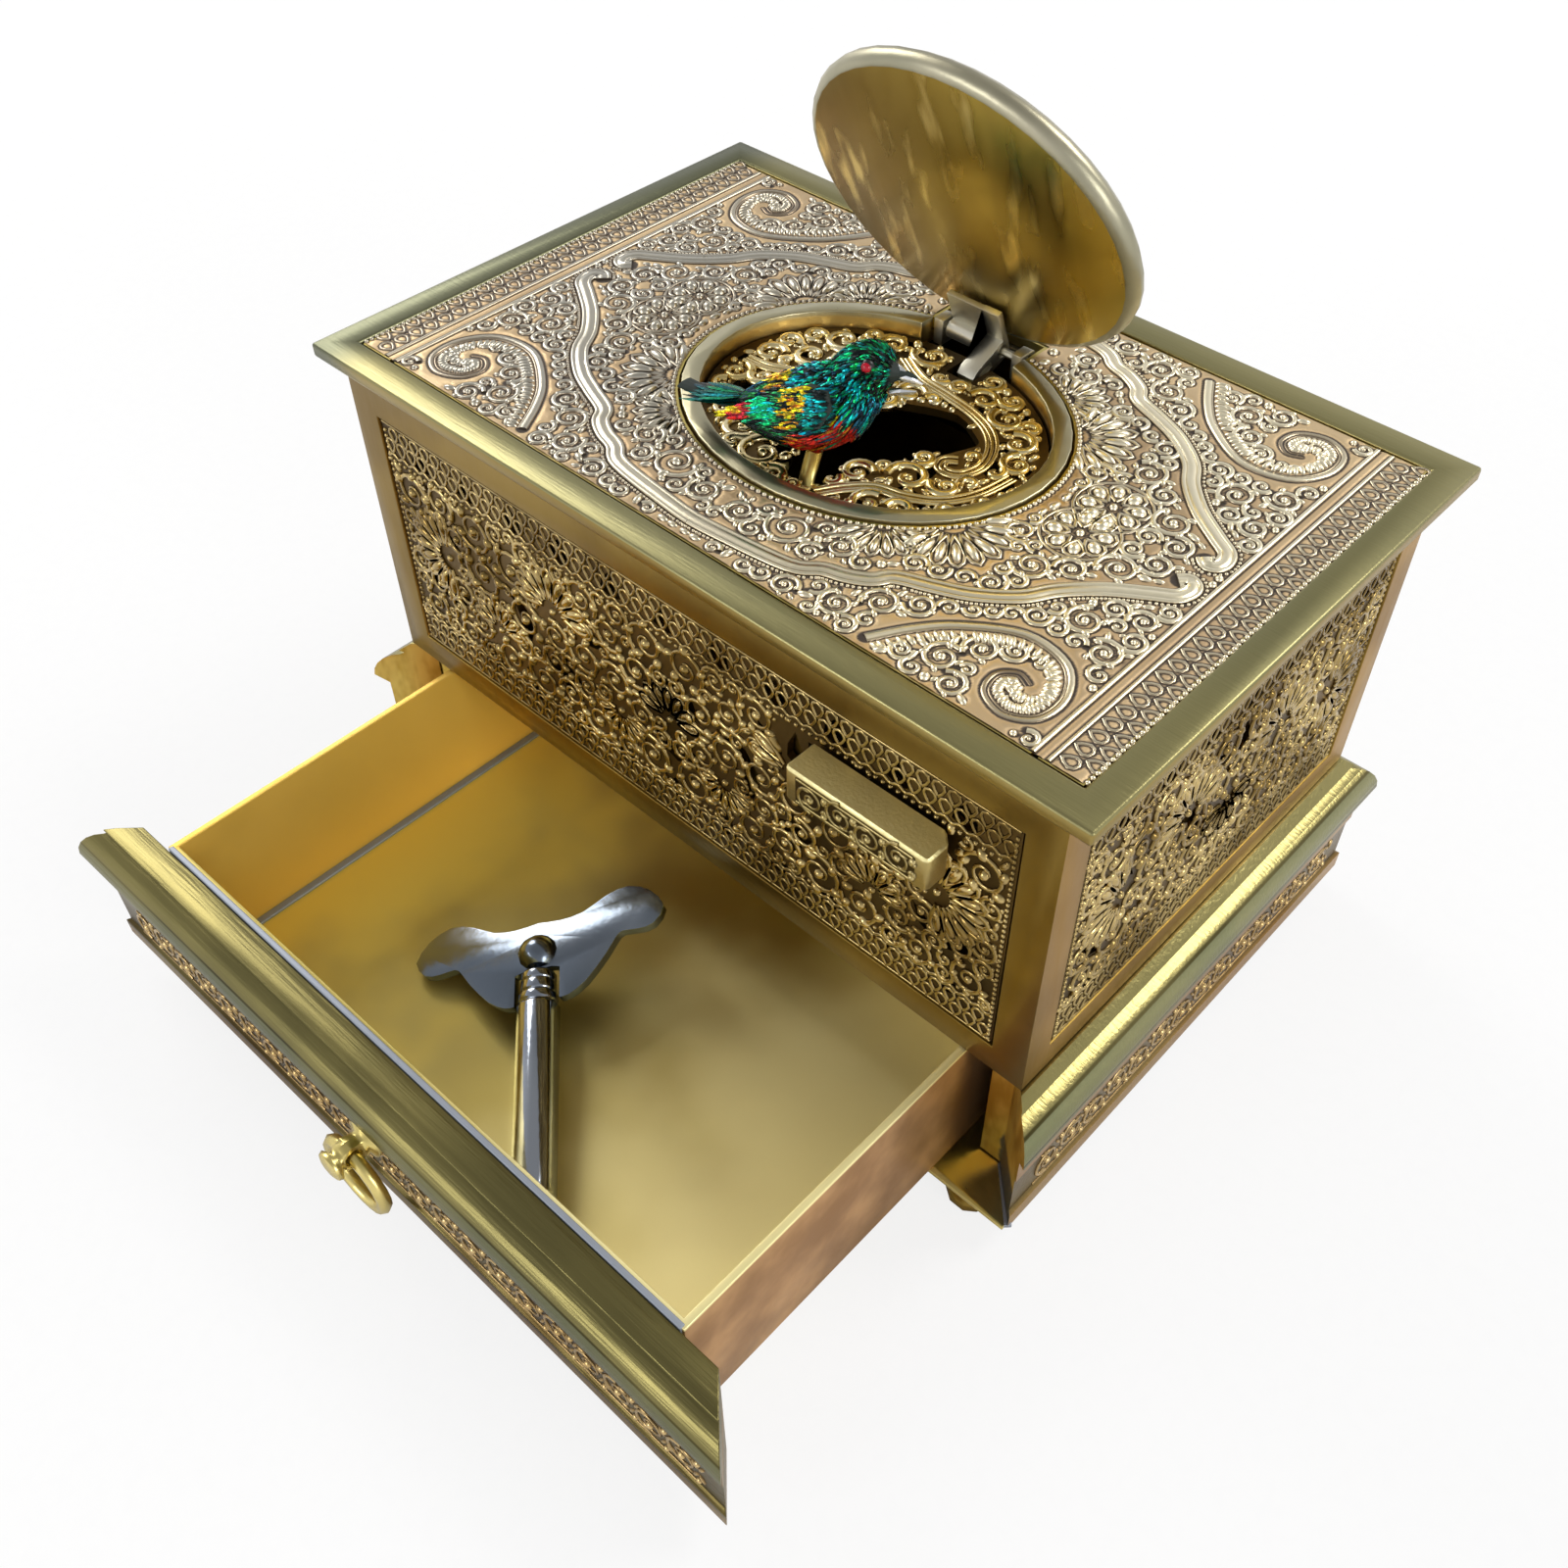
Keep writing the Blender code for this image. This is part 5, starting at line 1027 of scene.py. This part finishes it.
class Plumage:
    def __init__(self):
        self.corners = []
        self.faces = []
        self.tints = []

    def feather(self, root, tip, out, width, tint, ridge):
        way = tip - root
        across = way.cross(out).normalized() * width / 2
        base = len(self.corners)
        points = [root, root + way * 0.45 + across, root + way * 0.82 + across * 0.8, tip,
                  root + way * 0.82 - across * 0.8, root + way * 0.45 - across,
                  root + way * 0.55 + out * ridge]
        self.corners += [tuple(p) for p in points]
        self.faces += [(base + k, base + (k + 1) % 6, base + 6) for k in range(6)]
        dark = [c * 0.45 for c in tint]
        self.tints += [dark, tint, tint, [min(1.0, c * 1.25) for c in tint], tint, tint, tint]

    def made(self, name, node, look):
        data = bpy.data.meshes.new(name)
        data.from_pydata(self.corners, [], self.faces)
        tint = data.attributes.new("tint", "FLOAT_COLOR", "POINT")
        tint.data.foreach_set("color", [c for colour in self.tints for c in (*colour, 1.0)])
        data.transform(birdMatrix)
        data.materials.append(look)
        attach(linked(name, data), bodyOf(node))
        print("stage:", name, len(data.polygons))


palette = {"emerald": (0.0, 0.62, 0.20), "green": (0.01, 0.20, 0.05), "cyan": (0.0, 0.62, 0.66),
           "teal": (0.0, 0.28, 0.24), "black": (0.004, 0.008, 0.008), "yellow": (1.0, 0.72, 0.01),
           "orange": (0.80, 0.30, 0.01), "red": (0.68, 0.02, 0.01), "crimson": (0.46, 0.01, 0.03),
           "blue": (0.01, 0.09, 0.16)}


# One of the tints named in a line of words, a little lighter or darker
def picked(words):
    return [c * dice.uniform(0.75, 1.25) for c in palette[dice.choice(words.split())]]


# Tint of a body feather by how far forward it is and how far round from the back
def bodyTint(f, turn):
    low = abs(turn)
    if f > 5.4:
        return picked("black black green black teal emerald")
    if low > 2.0 and -1.6 < f < 3.0 and dice.random() < 0.92:
        return picked("red red red red orange")
    if 1.2 < f < 3.2 and 1.35 < low <= 2.0:
        return picked("yellow yellow yellow black orange")
    if -3.6 < f < -0.8 and low < 0.8:
        return picked("yellow yellow orange black")
    if 2.8 < f < 4.6 and low > 2.3:
        return picked("black blue blue cyan")
    if f > 3.4 and low < 0.9:
        return picked("black teal black emerald")
    if f > -0.4:
        return picked("cyan teal emerald cyan blue black black")
    if low < 0.8:
        return picked("black blue black green")
    return picked("green black black")


# Tint of a wing feather by how far forward and how high it is
def wingTint(f, u):
    if f < -8.2 or (f < -6.6 and u > 4.9):
        return picked("yellow yellow orange")
    if f < -5.6:
        return picked("crimson red crimson")
    if f < -2.2:
        if math.hypot(f + 3.9, (u - 6.0) * 1.2) < 1.3:
            return picked("emerald emerald emerald cyan")
        if u > 5.2:
            return picked("emerald green black")
        return picked("green black black black emerald")
    if f < 0.6:
        return picked("yellow orange yellow black black green")
    return picked("teal black cyan")


def featherLook():
    graph = graphNamed("feathers")
    tint = graph.node("ShaderNodeAttribute", {"attribute_name": "tint"}, {}, "Color")
    barbs = graph.noise(2600.0, 2.0)
    colour = graph.blend(barbs.between(0.35, 0.65, 0.0, 0.7), tint, (0.0, 0.01, 0.01))
    return graph.surface(colour, barbs.between(0.3, 0.7, 0.2, 0.36), 0.7)


# Rings of feathers from the beak to the tail
def bodyCoat():
    coat = Plumage()
    t = 8.35
    while t > 0.05:
        zone = bird["head"] if t > bird["neck"] else bird["trunk"]
        width, length = zone["width"], zone["length"]
        f, _, high, wide = spine(t)
        count = max(8, int(math.pi * (high + wide) / (width * 0.8)))
        for k in range(count):
            turn = 2 * math.pi * (k + dice.uniform(0, 0.9)) / count - math.pi
            root = skin(t + dice.uniform(-0.05, 0.05), turn, 0.05)
            tip = skin(t - length * dice.uniform(0.8, 1.25), turn + dice.uniform(-0.12, 0.12),
                       dice.uniform(0.2, 0.5))
            out = (skin(t, turn, 1.0) - skin(t, turn)).normalized()
            coat.feather(root, tip, out, width * dice.uniform(0.7, 1.1), bodyTint(f, turn), 0.16)
        t -= zone["step"]
    return coat


def within(x, y, outline):
    hit = False
    for (ax, ay), (bx, by) in zip(outline, outline[1:] + outline[:1]):
        if (ay > y) != (by > y) and x < ax + (y - ay) / (by - ay) * (bx - ax):
            hit = not hit
    return hit


# Rows of longer feathers down a wing, and a cape that hides its front edge
def wingCoat(hand):
    wing = Plumage()
    for row in range(40):
        f = 3.2 - row * 0.31
        far = (3.2 - f) / 12.2
        length = 1.5 + 2.0 * far
        for k in range(22):
            u = 3.6 + k * 0.28 + dice.uniform(-0.1, 0.1)
            if not within(f, u, bird["wing"]):
                continue
            way = Vector((-1, 0, -(0.25 + 0.15 * far) + dice.uniform(-0.12, 0.12))).normalized()
            root = Vector((f, hand * (4.71 + 0.08 * (1 - far)), u))
            tip = root + way * length * dice.uniform(0.8, 1.1) + Vector((0, hand * 0.05, 0))
            if not within(tip.x * 0.5 + f * 0.5, tip.z * 0.5 + u * 0.5, bird["wing"]):
                continue
            out = Vector((dice.uniform(-0.3, 0.3), hand, dice.uniform(-0.3, 0.3))).normalized()
            wing.feather(root, tip, out, 0.44, wingTint(f - length * 0.4, u), 0.08)
    for _ in range(150):
        u = dice.uniform(4.6, 9.4)
        front = 2.6 - 0.12 * (u - 7.4) ** 2
        root = Vector((front + dice.uniform(0.3, 1.2), hand * dice.uniform(3.7, 4.3),
                       u + dice.uniform(-0.1, 0.6)))
        tip = Vector((front - dice.uniform(0.8, 1.8), hand * 4.8, u - dice.uniform(0.2, 0.8)))
        out = Vector((0.3, hand, dice.uniform(-0.2, 0.2))).normalized()
        wing.feather(root, tip, out, 0.42, picked("cyan teal black emerald blue"), 0.06)
    return wing


def tailCoat():
    tail = Plumage()
    for layer in range(3):
        for k in range(9):
            share = k / 8 - 0.5
            root = Vector((-7.6 - layer * 0.5, share * 2.0, 4.3 + 0.35 * layer - 0.5 * abs(share)))
            tip = Vector((-15.4 + layer * 1.2 + abs(share), share * 6.0,
                          4.4 + 0.3 * layer - 1.6 * abs(share)))
            tint = picked("teal cyan emerald") if layer == 2 else picked("black blue teal")
            tail.feather(root, tip, Vector((0, 0, 1)), 1.1, tint, 0.12)
    return tail


feathered = featherLook()
bodyCoat().made("bodyFeathers", "bird_body", feathered)
for node, hand in (("wing_left", 1), ("wing_right", -1)):
    wingCoat(hand).made(node + "Feathers", node, feathered)
tailCoat().made("tailFeathers", "bird_tail", feathered)

# Eyes, each a dark rim and a red bead: radius, how far out, finish
eyeBeads = ((0.85, 1.95, plain("eye rim", (0.01, 0.01, 0.01), 0.3)),
            (0.66, 2.22, plain("eye red", (0.42, 0.0, 0.015), 0.06)))
for hand in (-1, 1):
    for radius, out, look in eyeBeads:
        where = Matrix.Translation(birdMatrix @ Vector((5.5, hand * out, 11.7)))
        eye = solid("eye" + str(hand) + str(radius), bpy.ops.mesh.primitive_uv_sphere_add,
                    {"segments": 24, "ring_count": 12, "radius": radius * mm}, where, look)
        bpy.ops.object.shade_smooth()
        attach(eye, bodyOf("bird_body"))

beakSize = {"vertices": 20, "radius1": 0.95 * mm, "radius2": 0.12 * mm, "depth": 3.6 * mm}
upperBeak = solid("upperBeak", bpy.ops.mesh.primitive_cone_add, beakSize,
                  Matrix.Diagonal((0.8, 1.1, 1, 1)), looks["beak"])
beakTurn = Vector((1, 0, -0.24)).to_track_quat("Z", "Y").to_matrix().to_4x4()
upperBeak.data.transform(birdMatrix @ Matrix.Translation((9.1, 0, 11.0)) @ beakTurn @ Matrix.Scale(1000, 4))
bpy.ops.object.shade_smooth()
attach(upperBeak, bodyOf("bird_body"))
print("stage: bird")


# Relief on the lid's outer face, round a rosette
lidGrowth = {"largest": 3.0, "smallest": 0.6, "gap": 0.02, "wire": 0.7, "leaf": 0.36, "leaves": 4}


def lidOrnament():
    part = Ornament()
    field = Field((0.0, -15.5), (19.5, 15.5))
    field.keepOval(18.6, 14.6, -1)
    field.keep(0.0, 0.0, 3.6)
    part.fan(0.0, -0.4, 3.8, up, 9, 320, 0.5)
    grown(field, part, lidGrowth)
    part = part.mirrored()
    part.ovalBeads(18.9, 14.9, 0.8, 0.36)
    return part


lidOut = -underside
lidLow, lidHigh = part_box("lid_plate")
lidMiddle = (lidLow + lidHigh) / 2
lidFace = max(vertex.co.dot(lidOut) for vertex in lidPiece.data.vertices)
lidOrigin = lidMiddle + lidOut * (lidFace - lidMiddle.dot(lidOut) - 0.1 * mm)
lidRelief = metal("lid relief", {"first": (0.50, 0.42, 0.26), "second": (0.72, 0.62, 0.42), "rough": 0.32})
built("lidRelief", lidOrnament(), plane(lidOrigin, (1, 0, 0), lidOut.cross(Vector((1, 0, 0)))), lidRelief,
      bodyOf("lid_plate"), 0.7)


# Running scrolls along the base and the drawer front
def runningStrip(length, height, pitch, wire):
    part = Ornament()
    count = int(length / pitch)
    pitch = length / count
    for k in range(count):
        x = -length / 2 + pitch * (k + 0.5)
        hand = 1 if k % 2 else -1
        part.spiral(x, hand * height * 0.05, pitch * 0.5, up * hand, hand, 1.6, wire)
        for side in (-1, 1):
            part.pearl(x + pitch / 2, side * height * 0.36, 0.42)
            for turn in (-0.6, 0.6):
                part.leaf(x + pitch / 2, side * height * 0.1, side * (up + turn), height * 0.26, wire * 0.9)
            part.leaf(x, side * height * 0.3, 0 if hand > 0 else math.pi, pitch * 0.34, wire * 0.8)
    for side in (-1, 1):
        part.wire([(-length / 2, side * height / 2), (length / 2, side * height / 2)], 0.4)
    return part


stripSet = {"above": 6.3, "inset": 1.6, "height": 6.2, "pitch": 4.4, "wire": 0.56}
for name, node, length, axis, outward in (
        ("rightStrip", "base_moulding", 64.0, "X", 1), ("leftStrip", "base_moulding", 64.0, "X", -1),
        ("backStrip", "base_moulding", 101.0, "Y", 1), ("drawerStrip", "drawer_front", 101.0, "Y", -1)):
    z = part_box(node)[0].z + stripSet["above"] * mm
    face, where = sidePlane(node, axis, outward, stripSet["inset"], z)
    # Each strip darkens towards its face with painted shade
    look = metal(name, {"first": (0.62, 0.42, 0.17), "second": (0.74, 0.54, 0.25), "rough": 0.26,
                        "height": (axis, face, face + outward * 0.3 * mm), "paintedShade": (0.16, 0.10, 0.04)})
    built(name, runningStrip(length, stripSet["height"], stripSet["pitch"], stripSet["wire"]), where, look,
          bodyOf(node))


# A small bar with soft edges between two corners, turned and moved where it is given a place
def bar(name, low, high, look, body, edge=0.15, where=Matrix()):
    item = solid(name, bpy.ops.mesh.primitive_cube_add, {"size": 1},
                 Matrix.Translation((low + high) / 2) @ Matrix.Diagonal((*(high - low), 1)), look)
    modifier = item.modifiers.new("Edge", "BEVEL")
    modifier.width = edge * mm
    modifier.segments = 3
    bpy.ops.object.modifier_apply(modifier="Edge")
    bpy.ops.object.shade_smooth_by_angle(angle=math.radians(60))
    item.data.transform(where)
    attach(item, body)


# Start grip's filigree front over a near-black inset, painted shade behind the openwork
gripLength, gripTall = (gripHigh.x - gripLow.x) / mm, (gripHigh.z - gripLow.z) / mm
gripAt = Vector(((gripLow.x + gripHigh.x) / 2, gripLow.y - 0.06 * mm, (gripLow.z + gripHigh.z) / 2))
# The grip's filigree darkens towards the grip with painted shade
gripRelief = metal("grip filigree", {"first": (0.46, 0.36, 0.14), "second": (0.64, 0.52, 0.25), "rough": 0.3,
                                     "height": ("Y", gripLow.y + 0.05 * mm, gripLow.y - 0.3 * mm),
                                     "paintedShade": (0.05, 0.03, 0.01)})
built("gripFiligree", runningStrip(gripLength - 3.4, gripTall - 1.4, 3.4, 0.5),
      plane(gripAt, (1, 0, 0), (0, 0, 1)), gripRelief, bodyOf("start_grip"), 0.8)
gripHalf = Vector((gripLength / 2 - 1.5, 0.0, gripTall / 2 - 0.6)) * mm
bar("gripInset", gripAt - gripHalf, gripAt + gripHalf + Vector((0, 0.2, 0)) * mm, looks["insetShade"],
    bodyOf("start_grip"), 0.02)

# Solder seams along the tray's left and front edges and in the base's front corners
solder, trayBody = looks["solder"], bodyOf("drawer_tray")
trayWall, trayFloor = 1.0 * mm, trayLow.z + 1.0 * mm
bar("leftSeam", Vector((trayLow.x + trayWall * 0.8, trayLow.y + 1.2 * mm, trayFloor - 0.2 * mm)),
    Vector((trayLow.x + trayWall + 0.9 * mm, trayHigh.y - 1.2 * mm, trayFloor + 0.28 * mm)), solder, trayBody)
for side in (-1, 1):
    turn = Matrix.Rotation(math.atan2(-5.4, side * 5.4), 4, "Z")
    bar("cornerSeam" + str(side), Vector((-0.45, -0.6, -0.3)) * mm, Vector((8.2, 0.6, 0.28)) * mm,
        solder, "case", 0.1, Matrix.Translation(place(side * 49.2, -30.9, -66.55)) @ turn)
bar("frontSeam", Vector((trayLow.x + 0.3 * mm, trayLow.y - 0.2 * mm, trayHigh.z - 1.2 * mm)),
    Vector((trayHigh.x - 0.3 * mm, trayLow.y + 0.5 * mm, trayHigh.z + 0.12 * mm)), solder, trayBody)

# Floor: pale paper that the camera sees brighter than the light on it
paper = plainGraph("floor", (0.86, 0.86, 0.86), 0.8)
seen = paper.node("ShaderNodeLightPath", {}, {}, "Is Camera Ray") * 0.82
glow = paper.node("ShaderNodeEmission", {}, {})
both = paper.node("ShaderNodeMixShader", {}, {0: seen, 1: Wire(paper, paper.shader.outputs[0]), 2: glow})
paper.fill(paper.tree.nodes["Material Output"], {"Surface": both})
solid("floor", bpy.ops.mesh.primitive_plane_add, {"size": 6.0}, Matrix(), paper.holder)

# Soft lamps turned to the casket: place and size in metres, watts, colour
lamps = {"back window": ((0.5, 0.9, 1.1), (0.6, 0.6), 9.0, (1.0, 0.98, 0.95)),
         "left window": ((-1.3, 0.2, 0.9), (0.7, 0.7), 10.0, (1.0, 0.98, 0.95)),
         "front fill": ((-0.4, -1.2, 0.5), (0.5, 0.4), 4.0, (1, 1, 1)),
         "right fill": ((1.2, -0.2, 0.5), (0.4, 0.4), 4.0, (1, 1, 1))}
for name, (spot, size, watts, colour) in lamps.items():
    data = bpy.data.lights.new(name, "AREA")
    data.shape = "RECTANGLE"
    data.size, data.size_y = size
    data.energy = watts
    data.color = colour
    item = linked(name, data)
    item.location = spot
    item.rotation_euler = (Vector(spot) - Vector((0, 0, 0.05))).to_track_quat("Z", "Y").to_euler()

world = bpy.data.worlds.new("studio")
bpy.context.scene.world = world
sky = Graph(world, "Background")
height = sky.node("ShaderNodeSeparateXYZ", {}, {0: sky.node("ShaderNodeTexCoord", {}, {}, "Generated")}, "Z")
climb = sky.node("ShaderNodeMapRange", {}, {0: height, 1: 0.1, 2: 0.9})
sky.fill(sky.shader, {"Color": sky.blend(climb, (0.95, 0.96, 1.0), (0.42, 0.42, 0.42)), "Strength": 0.9})

# Camera, where the straight edges of the casket meet the photo's
view = {"azimuth": 41.5657, "elevation": 47.2034, "roll": 0.9493, "place": (95.4, -114.3, 98.5),
        "lens": 36.10, "shift": (-0.0273, 0.0007)}
azimuth, elevation, roll = (math.radians(view[key]) for key in ("azimuth", "elevation", "roll"))
backward = Vector((math.sin(azimuth) * math.cos(elevation), -math.cos(azimuth) * math.cos(elevation),
                   math.sin(elevation)))
level = Vector((0, 0, 1)).cross(backward).normalized()
upright = backward.cross(level)
right = level * math.cos(roll) + upright * math.sin(roll)
above = upright * math.cos(roll) - level * math.sin(roll)
cameraData = bpy.data.cameras.new("camera")
cameraData.lens = view["lens"]
cameraData.sensor_width = 36.0
cameraData.shift_x, cameraData.shift_y = view["shift"]
cameraData.clip_start = 0.01
camera = linked("camera", cameraData)
camera.matrix_world = (Matrix.Translation(place(*view["place"]))
                       @ Matrix((right, above, backward)).transposed().to_4x4())
bpy.context.scene.camera = camera
bpy.context.scene.view_settings.view_transform = "Standard"
print("stage: light and camera")
